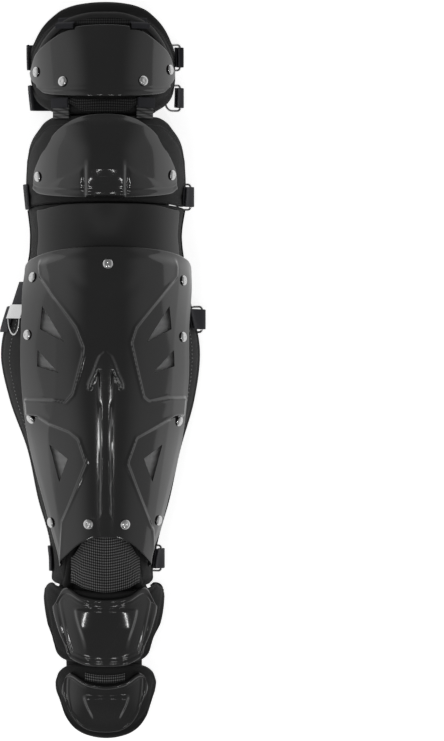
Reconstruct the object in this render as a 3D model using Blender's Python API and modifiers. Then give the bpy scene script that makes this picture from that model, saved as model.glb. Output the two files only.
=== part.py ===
"""Catcher's leg guard, lying on its back with the shells facing up.

The guard is one long arch, from the toe flap at the low end of Y to the thigh flap at its
high end. Every pad and plate is a patch of that arch, at its own height above or below it.
Lengths are in metres, +Z is up, and the strap backs lie on the ground.
"""

import math
from dataclasses import dataclass

import bmesh
import bpy
from mathutils import Matrix, Vector

# Lengths of the five stretches of the guard, from the toe to the thigh
LOWER_TOE_LENGTH = 0.075
UPPER_TOE_LENGTH = 0.087
SHIN_LENGTH = 0.312
KNEE_LENGTH = 0.151
THIGH_LENGTH = 0.113

# Half widths of the arch at the widest place of each stretch
LOWER_TOE_HALF = 0.052
UPPER_TOE_HALF = 0.063
SHIN_HALF = 0.100
KNEE_HALF = 0.080
THIGH_HALF = 0.076

# Heights of the arch above the ground at the highest place of each stretch
LOWER_TOE_RISE = 0.056
UPPER_TOE_RISE = 0.080
SHIN_RISE = 0.112
KNEE_RISE = 0.127
THIGH_RISE = 0.106

# Walls
PLATE_WALL = 0.003
BAND_WALL = 0.0025
THIGH_PAD_WALL = 0.010
KNEE_PAD_WALL = 0.009
KNEE_CUP_WALL = 0.006
BAND_PAD_WALL = 0.007
LINER_WALL = 0.010
SHIN_CUSHION_WALL = 0.009
ANKLE_WALL = 0.004
TOE_PAD_WALL = 0.008
LEATHER_WALL = 0.0025
WEBBING_WALL = 0.0018
TAB_WALL = 0.0014

# Finest edges that are kept, and the angle from which an edge is rounded
MERGE = 0.00001
SHARP_RIM = 55

# Clearances
GAP = 0.0004
SEAT = 0.0010
SEAM = 0.0014

# Reliefs of the plates
LIP_RISE = 0.0014
PANEL_RISE = 0.0035
ARROW_RISE = 0.0022
CAP_RISE = 0.0030
TOE_PANEL_RISE = 0.0026

# Straps and their hardware
STRAP_WIDTH = 0.0254
TAB_WIDTH = 0.020
RING_INSIDE = 0.023
RING_REACH = 0.018
RING_FALL = 0.010
RING_WIRE = 0.0024
RING_CORNER = 0.004
STRAP_TURN = 0.010
CLIP_WALL = 0.0012
CLIP_BAR = 0.0032
CLIP_SLOT = 0.0040
CLIP_SIDE = 0.0022
CLIP_PRONG = 0.008
CLIP_REACH = 0.0163
CLIP_CLEAR = 0.00035
FOLD_LENGTH = 0.020
LINK_WIDTH = 0.016
TAIL_WIDTH = 0.016
SHOULDER_TAB = 0.0165

# Rivets
RIVET_CAP = 0.0105
RIVET_CAP_RISE = 0.0022
RIVET_SHANK = 0.0044
RIVET_CLEAR = 0.0005
RIVET_SIDES = 8
RIVET_SEAT = 0.0007
WASHER_WALL = 0.0010

BODY = "leg_guard"


@dataclass(frozen=True)
class Station:
    """One section of the arch: where it is and what it measures, as shares of its stretch."""

    along: float
    left: float
    right: float
    crest: float
    rim: float
    sharp: float


@dataclass(frozen=True)
class Stretch:
    """One stretch of the guard, with its own length, half width and rise."""

    low: float
    length: float
    half: float
    rise: float
    stations: tuple

    def y(self, share):
        return self.low + share * self.length

    def x(self, share):
        return share * self.half


# Columns: along, left half width, right half width, crest height, rim height, sharpness
LOWER_TOE = Stretch(0.0, LOWER_TOE_LENGTH, LOWER_TOE_HALF, LOWER_TOE_RISE, (
    Station(0.00, 0.97, 0.97, 0.46, 0.07, 1.0),
    Station(0.50, 1.02, 1.00, 0.77, 0.09, 1.0),
))
UPPER_TOE = Stretch(LOWER_TOE.y(1), UPPER_TOE_LENGTH, UPPER_TOE_HALF, UPPER_TOE_RISE, (
    Station(0.00, 0.89, 0.87, 0.71, 0.12, 1.0),
    Station(0.50, 1.05, 1.00, 0.87, 0.16, 1.0),
    Station(0.82, 1.02, 0.95, 0.96, 0.18, 1.0),
))
SHIN = Stretch(UPPER_TOE.y(1), SHIN_LENGTH, SHIN_HALF, SHIN_RISE, (
    Station(0.00, 0.555, 0.475, 0.72, 0.19, 1.00),
    Station(0.12, 0.575, 0.525, 0.79, 0.19, 1.00),
    Station(0.25, 0.69, 0.64, 0.85, 0.16, 1.15),
    Station(0.41, 0.80, 0.75, 0.92, 0.12, 1.25),
    Station(0.57, 0.98, 0.89, 0.97, 0.07, 1.30),
    Station(0.73, 1.07, 0.945, 1.00, 0.05, 1.30),
    Station(0.88, 0.96, 0.855, 0.99, 0.10, 1.25),
))
KNEE = Stretch(SHIN.y(1), KNEE_LENGTH, KNEE_HALF, KNEE_RISE, (
    Station(0.00, 0.99, 0.98, 0.85, 0.15, 1.15),
    Station(0.20, 0.95, 0.94, 0.83, 0.17, 1.0),
    Station(0.40, 0.99, 0.99, 0.88, 0.11, 1.0),
    Station(0.59, 1.02, 1.01, 0.98, 0.07, 1.0),
    Station(0.76, 1.00, 0.99, 1.00, 0.07, 1.0),
    Station(0.90, 0.95, 0.93, 0.92, 0.09, 1.0),
))
THIGH = Stretch(KNEE.y(1), THIGH_LENGTH, THIGH_HALF, THIGH_RISE, (
    Station(0.00, 0.97, 0.92, 0.99, 0.11, 1.0),
    Station(0.21, 1.00, 0.925, 0.94, 0.10, 1.0),
    Station(0.48, 1.02, 0.92, 0.88, 0.08, 1.0),
    Station(0.74, 1.02, 0.91, 0.79, 0.09, 1.0),
    Station(1.00, 1.00, 0.89, 0.66, 0.13, 1.0),
))
STRETCHES = (LOWER_TOE, UPPER_TOE, SHIN, KNEE, THIGH)


def curve_through(rows, at):
    """Value at a place on the smooth curve through rows of (place, value)."""
    rows = list(rows)
    if at <= rows[0][0]:
        return rows[0][1]
    if at >= rows[-1][0]:
        return rows[-1][1]
    last = max(i for i, row in enumerate(rows) if row[0] <= at)
    (x0, v0), (x1, v1) = rows[last], rows[last + 1]

    def slope(i):
        if i in (0, len(rows) - 1):
            return 0.0
        return (rows[i + 1][1] - rows[i - 1][1]) / (rows[i + 1][0] - rows[i - 1][0])

    t = (at - x0) / (x1 - x0)
    run = x1 - x0
    return (
        v0 * (2 * t**3 - 3 * t**2 + 1)
        + v1 * (3 * t**2 - 2 * t**3)
        + slope(last) * run * (t**3 - 2 * t**2 + t)
        + slope(last + 1) * run * (t**3 - t**2)
    )


def smooth_step(value, start, end):
    """0 before start, 1 past end, and a soft rise between them."""
    t = min(1.0, max(0.0, (value - start) / (end - start)))
    return t * t * (3 - 2 * t)


class Arch:
    """The guard's own surface, through the stations of all stretches."""

    STEEPEST = 0.0012
    STEP = 0.001

    def __init__(self, stretches):
        rows = [(part.y(s.along), part, s) for part in stretches for s in part.stations]
        self.left = [(y, part.half * s.left) for y, part, s in rows]
        self.right = [(y, part.half * s.right) for y, part, s in rows]
        self.crest = [(y, part.rise * s.crest) for y, part, s in rows]
        self.rim = [(y, part.rise * s.rim) for y, part, s in rows]
        self.sharp = [(y, s.sharp) for y, _, s in rows]

    def half(self, side, y):
        return curve_through(self.left if side < 0 else self.right, y)

    def rim_at(self, y):
        return curve_through(self.rim, y)

    def height(self, x, y):
        """Height of the arch over a place in plan."""
        share = min(abs(x) / self.half(x, y), 1.0)
        rest = max(1 - share * share, self.STEEPEST)
        rim = self.rim_at(y)
        return rim + (curve_through(self.crest, y) - rim) * rest ** (curve_through(self.sharp, y) / 2)

    def normal(self, x, y):
        """Direction that leaves the arch over a place in plan."""
        half = self.half(x, y)
        share = min(abs(x) / half, 1.0)
        rest = max(1 - share * share, self.STEEPEST)
        sharp = curve_through(self.sharp, y)
        rise = curve_through(self.crest, y) - self.rim_at(y)
        fall = math.copysign(rise * sharp * share / half, x) * rest ** (sharp / 2 - 1)
        tilt = (self.height(x, y + self.STEP) - self.height(x, y - self.STEP)) / (2 * self.STEP)
        return Vector((fall, -tilt, 1)).normalized()

    def point(self, x, y, lift=0.0):
        """Place at a height above the arch, measured square to it."""
        return Vector((x, y, self.height(x, y))) + lift * self.normal(x, y)

    def wall(self, side, degrees, y, lift=0.0):
        """Place on the side of the arch, from 0 degrees at the crest to 90 at the rim."""
        return self.point(side * self.half(side, y) * math.sin(math.radians(degrees)), y, lift)


ARCH = Arch(STRETCHES)


@dataclass(frozen=True)
class Outline:
    """Plan of a patch, in shares of its stretch.

    low and high are rows of (share from the middle to the side, share along the stretch), and
    sides are rows of (share from the low to the high edge, left half width, right half width).
    No side reaches past REACH of the arch's own half width.
    """

    REACH = 0.9985

    stretch: Stretch
    low: tuple
    high: tuple
    sides: tuple

    def side(self, sign, up):
        column = 1 if sign < 0 else 2
        return self.stretch.x(curve_through([(row[0], row[column]) for row in self.sides], up))

    def place(self, across, up):
        """Place in plan at a share across (-1 to 1) and a share up (0 to 1)."""
        low = self.stretch.y(curve_through(self.low, abs(across)))
        high = self.stretch.y(curve_through(self.high, abs(across)))
        y = low + up * (high - low)
        edge_low = self.stretch.y(curve_through(self.low, 1))
        edge_high = self.stretch.y(curve_through(self.high, 1))
        edge_y = edge_low + up * (edge_high - edge_low)
        half = ARCH.half(across, edge_y)
        edge = min(self.side(across, up), self.REACH * half)
        lean = math.asin(edge / half)
        x = math.copysign(edge * math.sin(abs(across) * lean) / math.sin(lean), across)
        return x, y


THIGH_PAD = Outline(
    THIGH,
    ((0.0, 0.010), (0.55, 0.012), (0.7, 0.045), (0.82, 0.088), (0.92, 0.15), (1.0, 0.24)),
    (
        (0.0, 0.993), (0.25, 0.977), (0.42, 0.935), (0.54, 0.87), (0.65, 0.80), (0.74, 0.73),
        (0.82, 0.665), (0.91, 0.605), (1.0, 0.50),
    ),
    ((0.0, 0.985, 0.905), (0.3, 1.005, 0.915), (1.0, 1.015, 0.915)),
)
THIGH_PLATE = Outline(
    THIGH,
    ((0.0, 0.135), (0.5, 0.15), (0.85, 0.18), (1.0, 0.23)),
    ((0.0, 0.775), (0.15, 0.772), (0.30, 0.758), (0.44, 0.718), (0.64, 0.633), (0.86, 0.52), (1.0, 0.38)),
    ((0.0, 0.86, 0.79), (0.5, 0.94, 0.85), (1.0, 0.965, 0.865)),
)
KNEE_PAD = Outline(
    KNEE,
    ((0.0, 0.405), (0.6, 0.400), (1.0, 0.385)),
    ((0.0, 0.993), (0.50, 0.985), (0.61, 0.955), (0.70, 0.907), (0.80, 0.854), (0.88, 0.80), (1.0, 0.70)),
    ((0.0, 0.985, 0.985), (0.5, 1.010, 1.000), (1.0, 1.000, 0.990)),
)
KNEE_SHELL = Outline(
    KNEE,
    ((0.0, 0.445), (0.6, 0.455), (0.9, 0.475), (1.0, 0.50)),
    ((0.0, 0.985), (0.4, 0.965), (0.7, 0.91), (0.9, 0.85), (1.0, 0.80)),
    ((0.0, 0.86, 0.84), (0.35, 0.86, 0.84), (0.75, 0.77, 0.75), (1.0, 0.68, 0.66)),
)
KNEE_CUP = Outline(
    KNEE,
    ((0.0, 0.06), (0.6, 0.10), (1.0, 0.34)),
    ((0.0, 0.90), (0.6, 0.86), (1.0, 0.62)),
    ((0.0, 0.70, 0.70), (0.5, 0.74, 0.74), (1.0, 0.70, 0.70)),
)
BAND_PAD = Outline(
    KNEE,
    ((0.0, 0.008), (1.0, 0.008)),
    ((0.0, 0.400), (0.6, 0.395), (1.0, 0.380)),
    ((0.0, 0.985, 0.975), (0.5, 0.948, 0.938), (1.0, 0.985, 0.985)),
)
BAND_PLATE = Outline(
    KNEE,
    ((0.0, 0.085), (0.5, 0.072), (1.0, 0.040)),
    ((0.0, 0.415), (0.5, 0.405), (1.0, 0.365)),
    ((0.0, 0.83, 0.88), (0.5, 0.81, 0.86), (1.0, 0.83, 0.88)),
)
SHIN_LINER = Outline(
    SHIN,
    (
        (0.0, 0.150), (0.40, 0.125), (0.50, 0.06), (0.58, -0.030), (0.66, -0.025), (0.80, -0.018),
        (1.0, -0.012),
    ),
    ((0.0, 0.996), (1.0, 0.996)),
    (
        (0.00, 0.553, 0.473), (0.12, 0.573, 0.523), (0.25, 0.687, 0.637), (0.41, 0.797, 0.747),
        (0.57, 0.977, 0.887), (0.73, 1.067, 0.967), (0.88, 0.957, 0.897), (1.00, 0.790, 0.782),
    ),
)
SHIN_PLATE = Outline(
    SHIN,
    ((0.0, 0.133), (0.4, 0.118), (0.75, 0.072), (0.92, 0.045), (1.0, 0.035)),
    ((0.0, 1.058), (0.5, 1.047), (0.85, 1.018), (0.96, 0.998), (1.0, 0.978)),
    (
        (0.00, 0.440, 0.410), (0.14, 0.530, 0.520), (0.33, 0.680, 0.660), (0.47, 0.770, 0.745),
        (0.64, 0.822, 0.795), (0.78, 0.824, 0.797), (0.93, 0.785, 0.795), (1.00, 0.755, 0.785),
    ),
)
SHIN_CUSHION = Outline(
    SHIN,
    ((0.0, 0.20), (0.7, 0.215), (1.0, 0.26)),
    ((0.0, 0.865), (0.7, 0.85), (1.0, 0.79)),
    ((0.0, 0.34, 0.34), (0.35, 0.42, 0.42), (0.8, 0.55, 0.55), (1.0, 0.52, 0.52)),
)
ANKLE = Outline(
    SHIN,
    ((0.0, -0.0465), (0.6, -0.034), (1.0, -0.016)),
    ((0.0, 0.1485), (0.6, 0.1185), (1.0, 0.066)),
    ((0.0, 0.345, 0.305), (0.4, 0.320, 0.280), (1.0, 0.29, 0.26)),
)
UPPER_TOE_PAD = Outline(
    UPPER_TOE,
    ((0.0, 0.012), (0.6, 0.025), (0.85, 0.10), (1.0, 0.28)),
    ((0.0, 0.825), (0.5, 0.865), (0.75, 0.935), (0.9, 0.91), (1.0, 0.78)),
    ((0.0, 0.87, 0.76), (0.4, 0.96, 0.89), (1.0, 1.01, 0.94)),
)
UPPER_TOE_PLATE = Outline(
    UPPER_TOE,
    ((0.0, -0.020), (0.5, -0.005), (0.85, 0.07), (1.0, 0.14)),
    ((0.0, 0.76), (0.4, 0.80), (0.62, 0.88), (0.75, 0.87), (1.0, 0.68)),
    ((0.0, 0.60, 0.565), (0.5, 0.73, 0.69), (1.0, 0.81, 0.77)),
)
LOWER_TOE_PAD = Outline(
    LOWER_TOE,
    ((0.0, 0.003), (0.35, 0.04), (0.6, 0.13), (0.8, 0.28), (1.0, 0.50)),
    ((0.0, 0.985), (0.6, 0.975), (0.85, 0.91), (1.0, 0.78)),
    ((0.0, 0.92, 0.90), (0.5, 0.99, 0.96), (1.0, 1.00, 0.98)),
)
LOWER_TOE_PLATE = Outline(
    LOWER_TOE,
    ((0.0, 0.094), (0.35, 0.12), (0.6, 0.20), (0.8, 0.34), (1.0, 0.54)),
    ((0.0, 0.735), (0.4, 0.78), (0.72, 0.895), (0.86, 0.87), (1.0, 0.72)),
    ((0.0, 0.76, 0.68), (0.5, 0.81, 0.74), (1.0, 0.80, 0.76)),
)


# Columns: x and y of the three corners of each opening on one side of the shin plate,
# as shares of the half width and of the stretch
VENTS = (
    ((0.635, 0.869), (0.656, 0.795), (0.410, 0.753)),
    ((0.680, 0.728), (0.685, 0.676), (0.470, 0.655)),
    ((0.564, 0.426), (0.380, 0.381), (0.465, 0.306)),
)


@dataclass(frozen=True)
class RivetRow:
    """Where one rivet sits: its stretch, its shares across and along, and if it goes through."""

    name: str
    stretch: Stretch
    across: float
    along: float
    through: bool


RIVETS = (
    RivetRow("thigh_rivet_1", THIGH, -0.868, 0.372, False),
    RivetRow("thigh_rivet_2", THIGH, -0.533, 0.279, False),
    RivetRow("thigh_rivet_3", THIGH, 0.460, 0.283, False),
    RivetRow("thigh_rivet_4", THIGH, 0.790, 0.390, False),
    RivetRow("knee_rivet_left", KNEE, -0.800, 0.585, False),
    RivetRow("knee_rivet_right", KNEE, 0.780, 0.595, False),
    RivetRow("shin_rivet_top", SHIN, 0.020, 1.000, False),
    RivetRow("shin_rivet_left_1", SHIN, -0.670, 0.955, False),
    RivetRow("shin_rivet_right_1", SHIN, 0.700, 0.949, False),
    RivetRow("shin_rivet_left_2", SHIN, -0.750, 0.776, True),
    RivetRow("shin_rivet_right_2", SHIN, 0.730, 0.769, True),
    RivetRow("shin_rivet_left_3", SHIN, -0.715, 0.510, True),
    RivetRow("shin_rivet_right_3", SHIN, 0.690, 0.503, True),
    RivetRow("shin_rivet_left_4", SHIN, -0.510, 0.179, True),
    RivetRow("shin_rivet_right_4", SHIN, 0.480, 0.186, True),
    RivetRow("shin_rivet_low_left", SHIN, -0.150, 0.176, False),
    RivetRow("shin_rivet_low_right", SHIN, 0.165, 0.175, False),
)


@dataclass(frozen=True)
class StrapRow:
    """Where one strap crosses the back of the guard, and the angle on the wall where it is sewn."""

    name: str
    stretch: Stretch
    along: float
    sewn: float


STRAPS = (
    StrapRow("thigh_upper", THIGH, 0.510, 79),
    StrapRow("thigh_lower", THIGH, 0.150, 75),
    StrapRow("knee", KNEE, 0.455, 72),
    StrapRow("calf", SHIN, 0.827, 67),
    StrapRow("ankle", SHIN, 0.060, 74),
)


def clear_scene():
    for thing in list(bpy.data.objects):
        bpy.data.objects.remove(thing)


def material(name, colour, roughness, metallic=0.0):
    made = bpy.data.materials.new(name)
    made.use_nodes = True
    shader = made.node_tree.nodes["Principled BSDF"]
    shader.inputs["Base Color"].default_value = (*colour, 1)
    shader.inputs["Roughness"].default_value = roughness
    shader.inputs["Metallic"].default_value = metallic
    return made


FINISHES = {
    "shell": ((0.012, 0.012, 0.013), 0.12, 0.0),
    "band": ((0.013, 0.013, 0.014), 0.45, 0.0),
    "fabric": ((0.016, 0.016, 0.017), 0.85, 0.0),
    "mesh": ((0.035, 0.035, 0.037), 0.80, 0.0),
    "webbing": ((0.013, 0.013, 0.014), 0.75, 0.0),
    "leather": ((0.11, 0.11, 0.115), 0.55, 0.0),
    "steel": ((0.62, 0.62, 0.63), 0.25, 1.0),
}


class Workshop:
    """Collections, the empty that carries the guard, and the way each piece joins them."""

    def __init__(self):
        self.parts = bpy.data.collections.new(BODY)
        self.cutters = bpy.data.collections.new("cutters")
        for collection in (self.parts, self.cutters):
            bpy.context.scene.collection.children.link(collection)
        self.carrier = bpy.data.objects.new("carrier", None)
        self.parts.objects.link(self.carrier)

    def piece(self, name, data, finish):
        made = bpy.data.objects.new(name, data)
        made.parent = self.carrier
        data.materials.append(material(name, *FINISHES[finish]))
        self.parts.objects.link(made)
        return made

    def cutter(self, name, data):
        made = bpy.data.objects.new(name, data)
        made.parent = self.carrier
        made.hide_render = True
        made.display_type = "WIRE"
        self.cutters.objects.link(made)
        return made


def grid_mesh(name, points):
    """Open surface over rows of points, facing up where the rows run to +Y and across to +X."""
    mesh = bpy.data.meshes.new(name)
    shape = bmesh.new()
    rows = [[shape.verts.new(point) for point in row] for row in points]
    for low, high in zip(rows, rows[1:]):
        for a, b, c, d in zip(low, low[1:], high[1:], high):
            shape.faces.new((a, b, c, d))
    shape.to_mesh(mesh)
    shape.free()
    for face in mesh.polygons:
        face.use_smooth = True
    return mesh


def solidify(thing, wall, offset=-1.0, group=None, thinnest=1.0):
    made = thing.modifiers.new("wall", "SOLIDIFY")
    made.thickness = wall
    made.offset = offset
    made.use_even_offset = True
    if group:
        made.vertex_group = group
        made.thickness_vertex_group = thinnest


def round_rim(thing, width):
    made = thing.modifiers.new("rim", "BEVEL")
    made.width = width
    made.segments = 1
    made.limit_method = "ANGLE"
    made.angle_limit = math.radians(SHARP_RIM)


def cut(thing, cutter):
    made = thing.modifiers.new(cutter.name, "BOOLEAN")
    made.operation = "DIFFERENCE"
    made.solver = "EXACT"
    made.object = cutter


def shares(*steps):
    """Shares across a patch, from -1 to 1, out of the steps on one side."""
    return [-step for step in reversed(steps) if step] + list(steps)


def patch(shop, name, outline, finish, across, up, lift, wall, relief=None, depth=None, rim=0.0):
    """Pad or plate on the arch.

    lift is how far its outer face stands off the arch, relief(x, y, across, up) is added to
    it, and depth(across, up) is the share of the wall that it has there.
    """
    places = [[outline.place(a, u) for a in across] for u in up]
    points = [
        [
            ARCH.point(x, y, lift + (relief(x, y, a, u) if relief else 0.0))
            for (x, y), a in zip(row, across)
        ]
        for row, u in zip(places, up)
    ]
    thing = shop.piece(name, grid_mesh(name, points), finish)
    if depth:
        group = thing.vertex_groups.new(name="depth")
        for i, u in enumerate(up):
            for j, a in enumerate(across):
                group.add([i * len(across) + j], depth(a, u), "REPLACE")
        solidify(thing, wall, group="depth", thinnest=0.0)
    else:
        solidify(thing, wall)
    if rim:
        round_rim(thing, rim)
    return thing


def rolled_lip(across, up):
    """Raised border of a plate, as a share of its rise."""
    inside = min(1 - abs(across), min(up, 1 - up) * 1.6)
    return smooth_step(inside, 0.0, 0.05) * (1 - smooth_step(inside, 0.08, 0.16))


def low_lip(up):
    """Raised roll along a plate's low edge."""
    return LIP_RISE * smooth_step(up, 0.0, 0.03) * (1 - smooth_step(up, 0.06, 0.12))


def plate_lip(_x, _y, _across, up):
    return low_lip(up)


def knee_relief(x, y, _across, up):
    """Rolled lip, and the raised cap over the middle of the knee."""
    low, high = KNEE.y(0.46), KNEE.y(0.66)
    sides = 1 - smooth_step(abs(x), KNEE.x(0.20), KNEE.x(0.27))
    length = smooth_step(y, low, low + 0.004) * (1 - smooth_step(y, high - 0.012, high + 0.010))
    return low_lip(up) + CAP_RISE * sides * length


# Columns: share along the shin, half width of the raised panel there as a share of the half width
PANEL_EDGE = (
    (0.18, 0.41), (0.30, 0.27), (0.37, 0.21), (0.44, 0.26), (0.47, 0.36), (0.53, 0.62),
    (0.58, 0.66), (0.60, 0.38), (0.66, 0.29), (0.73, 0.235), (0.80, 0.29), (0.88, 0.45), (0.955, 0.58),
)
# Columns: share along the shin, half width of the arrow and its stem
ARROW_EDGE = ((0.20, 0.035), (0.60, 0.055), (0.605, 0.145), (0.66, 0.100), (0.71, 0.045), (0.725, 0.001))


def shin_relief(x, y, across, up):
    """Raised middle panel between the two pockets on each side, with the arrow on it."""
    share = (y - SHIN.low) / SHIN.length
    edge = SHIN.x(curve_through(PANEL_EDGE, share))
    on_panel = 1 - smooth_step(abs(x), edge - SHIN.x(0.05), edge)
    arrow = SHIN.x(curve_through(ARROW_EDGE, share))
    on_arrow = 1 - smooth_step(abs(x), arrow, arrow + SHIN.x(0.03))
    on_arrow *= smooth_step(share, 0.19, 0.21) * (1 - smooth_step(share, 0.72, 0.74))
    border = smooth_step(1 - abs(across), 0.02, 0.10) * smooth_step(1 - up, 0.01, 0.05)
    over_band = smooth_step(share, 0.89, 0.965) * (BAND_WALL + 2 * GAP)
    return over_band + border * (PANEL_RISE * on_panel + ARROW_RISE * on_arrow)


def toe_relief(stretch, narrow, wide, low, high):
    """Rolled lip and raised middle panel of a toe plate, from narrow below to wide above."""

    def relief(x, y, across, up):
        share = (y - stretch.low) / stretch.length
        half = stretch.x(narrow + (wide - narrow) * smooth_step(share, low, high))
        sides = 1 - smooth_step(abs(x), half, half + stretch.x(0.10))
        length = smooth_step(share, low, low + 0.06) * (1 - smooth_step(share, high - 0.06, high))
        return LIP_RISE * rolled_lip(across, up) + TOE_PANEL_RISE * sides * length

    return relief


def padded_border(across, up):
    """Share of a pad's wall: full in its bound border and its middle roll, less between."""
    inside = min(1 - abs(across), min(up, 1 - up) * 1.4)
    return 1 - 0.35 * smooth_step(inside, 0.10, 0.22)


def grooved(across, up):
    """Share of the shin cushion's wall, with the groove down its middle."""
    groove = (1 - smooth_step(abs(across), 0.08, 0.18)) * smooth_step(up, 0.12, 0.20)
    groove *= 1 - smooth_step(up, 0.74, 0.82)
    return (1 - 0.5 * groove) * (0.6 + 0.4 * smooth_step(min(1 - abs(across), up, 1 - up), 0.0, 0.12))


def pleated(across, up):
    """Share of the knee cup's wall, whose petals stand up between the pleats."""
    turn = math.atan2(2 * up - 1, across)
    reach = math.hypot(across, 2 * up - 1)
    petals = 0.5 + 0.5 * math.cos(8 * turn)
    return 1 - 0.35 * (1 - petals) * smooth_step(reach, 0.25, 0.6)


BAND_ROWS = (0.0, 0.25, 0.5, 0.75, 1.0)


def build_pads(shop):
    wide = shares(0.0, 0.2, 0.4, 0.6, 0.8, 0.92, 1.0)
    liner_wide = shares(0.0, 0.2, 0.4, 0.5, 0.58, 0.8, 0.92, 1.0)
    tall = (0.0, 0.08, 0.2, 0.4, 0.6, 0.8, 0.92, 1.0)
    knee_tall = (0.0, 0.1, 0.22, 0.35, 0.5, 0.65, 0.8, 0.92, 1.0)
    patch(shop, "thigh_pad", THIGH_PAD, "fabric", wide, tall, 0.0, THIGH_PAD_WALL,
          depth=padded_border, rim=0.0025)
    patch(shop, "knee_pad", KNEE_PAD, "fabric", wide, knee_tall, 0.0, KNEE_PAD_WALL, rim=0.0025)
    patch(shop, "band_pad", BAND_PAD, "mesh", wide, BAND_ROWS, 0.0, BAND_PAD_WALL, rim=0.0015)
    cup_tall = (0.0, 0.15, 0.3, 0.5, 0.7, 0.85, 1.0)
    patch(shop, "knee_cup", KNEE_CUP, "fabric", shares(0.0, 0.25, 0.5, 0.75, 1.0), cup_tall,
          -(KNEE_PAD_WALL + SEAT + SEAM), KNEE_CUP_WALL, depth=pleated)
    liner = patch(shop, "shin_liner", SHIN_LINER, "fabric", liner_wide,
                  (0.0, 0.04, 0.085, 0.15, 0.25, 0.38, 0.5, 0.62, 0.74, 0.86, 0.95, 1.0), 0.0, LINER_WALL,
                  depth=padded_border, rim=0.003)
    cushion_tall = (0.0, 0.1, 0.2, 0.45, 0.74, 0.84, 0.93, 1.0)
    patch(shop, "shin_cushion", SHIN_CUSHION, "mesh", shares(0.0, 0.1, 0.2, 0.55, 0.85, 1.0),
          cushion_tall, -(LINER_WALL + SEAT), SHIN_CUSHION_WALL, depth=grooved)
    patch(shop, "ankle_panel", ANKLE, "mesh", shares(0.0, 0.35, 0.7, 1.0), (0.0, 0.3, 0.6, 1.0),
          0.0, ANKLE_WALL)
    toe_wide = shares(0.0, 0.3, 0.6, 0.85, 1.0)
    toe_tall = (0.0, 0.12, 0.35, 0.65, 0.88, 1.0)
    patch(shop, "upper_toe_pad", UPPER_TOE_PAD, "fabric", toe_wide, toe_tall, 0.0, TOE_PAD_WALL, rim=0.002)
    patch(shop, "lower_toe_pad", LOWER_TOE_PAD, "fabric", toe_wide, toe_tall, 0.0, TOE_PAD_WALL, rim=0.002)
    return liner


def build_plates(shop):
    lifted = SEAT + PLATE_WALL
    plate_wide = shares(0.0, 0.2, 0.4, 0.6, 0.8, 0.92, 1.0)
    plate_tall = (0.0, 0.03, 0.06, 0.12, 0.35, 0.6, 0.8, 1.0)
    thigh = patch(shop, "thigh_plate", THIGH_PLATE, "shell", plate_wide, plate_tall, lifted, PLATE_WALL,
                  relief=plate_lip)
    knee = patch(shop, "knee_shell", KNEE_SHELL, "shell",
                 shares(0.0, 0.12, 0.24, 0.34, 0.5, 0.7, 0.86, 0.94, 1.0),
                 (0.0, 0.03, 0.08, 0.2, 0.32, 0.42, 0.56, 0.72, 0.86, 0.95, 1.0), lifted, PLATE_WALL,
                 relief=knee_relief)
    patch(shop, "band_plate", BAND_PLATE, "band", shares(0.0, 0.2, 0.4, 0.6, 0.8, 0.92, 1.0),
          BAND_ROWS, SEAT + BAND_WALL, BAND_WALL)
    shin_tall = (
        0.0, 0.06, 0.14, 0.22, 0.29, 0.35, 0.42, 0.49, 0.53, 0.60, 0.67, 0.75, 0.84, 0.91, 0.95, 1.0,
    )
    shin = patch(shop, "shin_plate", SHIN_PLATE, "shell",
                 shares(0.0, 0.06, 0.17, 0.27, 0.37, 0.52, 0.68, 0.85, 1.0), shin_tall, lifted,
                 PLATE_WALL, relief=shin_relief)
    toe_wide = shares(0.0, 0.3, 0.42, 0.6, 0.85, 0.93, 1.0)
    toe_tall = (0.0, 0.06, 0.12, 0.2, 0.45, 0.7, 0.85, 0.94, 1.0)
    patch(shop, "upper_toe_plate", UPPER_TOE_PLATE, "shell", toe_wide, toe_tall, lifted, PLATE_WALL,
          relief=toe_relief(UPPER_TOE, 0.28, 0.42, 0.16, 0.66))
    patch(shop, "lower_toe_plate", LOWER_TOE_PLATE, "shell", toe_wide, toe_tall, lifted, PLATE_WALL,
          relief=toe_relief(LOWER_TOE, 0.20, 0.36, 0.22, 0.60))
    return thigh, knee, shin


def prism(name, corners, low, high):
    """Upright prism over the corners of a flat outline."""
    mesh = bpy.data.meshes.new(name)
    shape = bmesh.new()
    face = shape.faces.new([shape.verts.new((x, y, low)) for x, y in corners])
    moved = bmesh.ops.extrude_face_region(shape, geom=[face])["geom"]
    tops = [item for item in moved if isinstance(item, bmesh.types.BMVert)]
    bmesh.ops.translate(shape, vec=(0, 0, high - low), verts=tops)
    bmesh.ops.recalc_face_normals(shape, faces=shape.faces)
    shape.to_mesh(mesh)
    shape.free()
    return mesh


def cut_vents(shop, shin):
    for side in (-1, 1):
        for number, corners in enumerate(VENTS, 1):
            places = [(side * SHIN.x(x), SHIN.y(y)) for x, y in corners]
            name = f"vent_{'left' if side < 0 else 'right'}_{number}"
            low = min(ARCH.height(x, y) for x, y in places) - PLATE_WALL
            high = max(ARCH.height(x, y) for x, y in places) + 5 * PLATE_WALL
            cut(shin, shop.cutter(name, prism(name, places, low, high)))


def turned(name, profile):
    """Mesh of a profile of (radius, height), which the Screw modifier turns."""
    mesh = bpy.data.meshes.new(name)
    shape = bmesh.new()
    verts = [shape.verts.new((radius, 0, height)) for radius, height in profile]
    for a, b in zip(verts, verts[1:]):
        shape.edges.new((a, b))
    shape.to_mesh(mesh)
    shape.free()
    return mesh


def screw(thing, sides):
    made = thing.modifiers.new("turn", "SCREW")
    made.steps = sides
    made.render_steps = sides
    made.use_merge_vertices = True
    made.merge_threshold = MERGE
    made.use_smooth_shade = True


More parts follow.
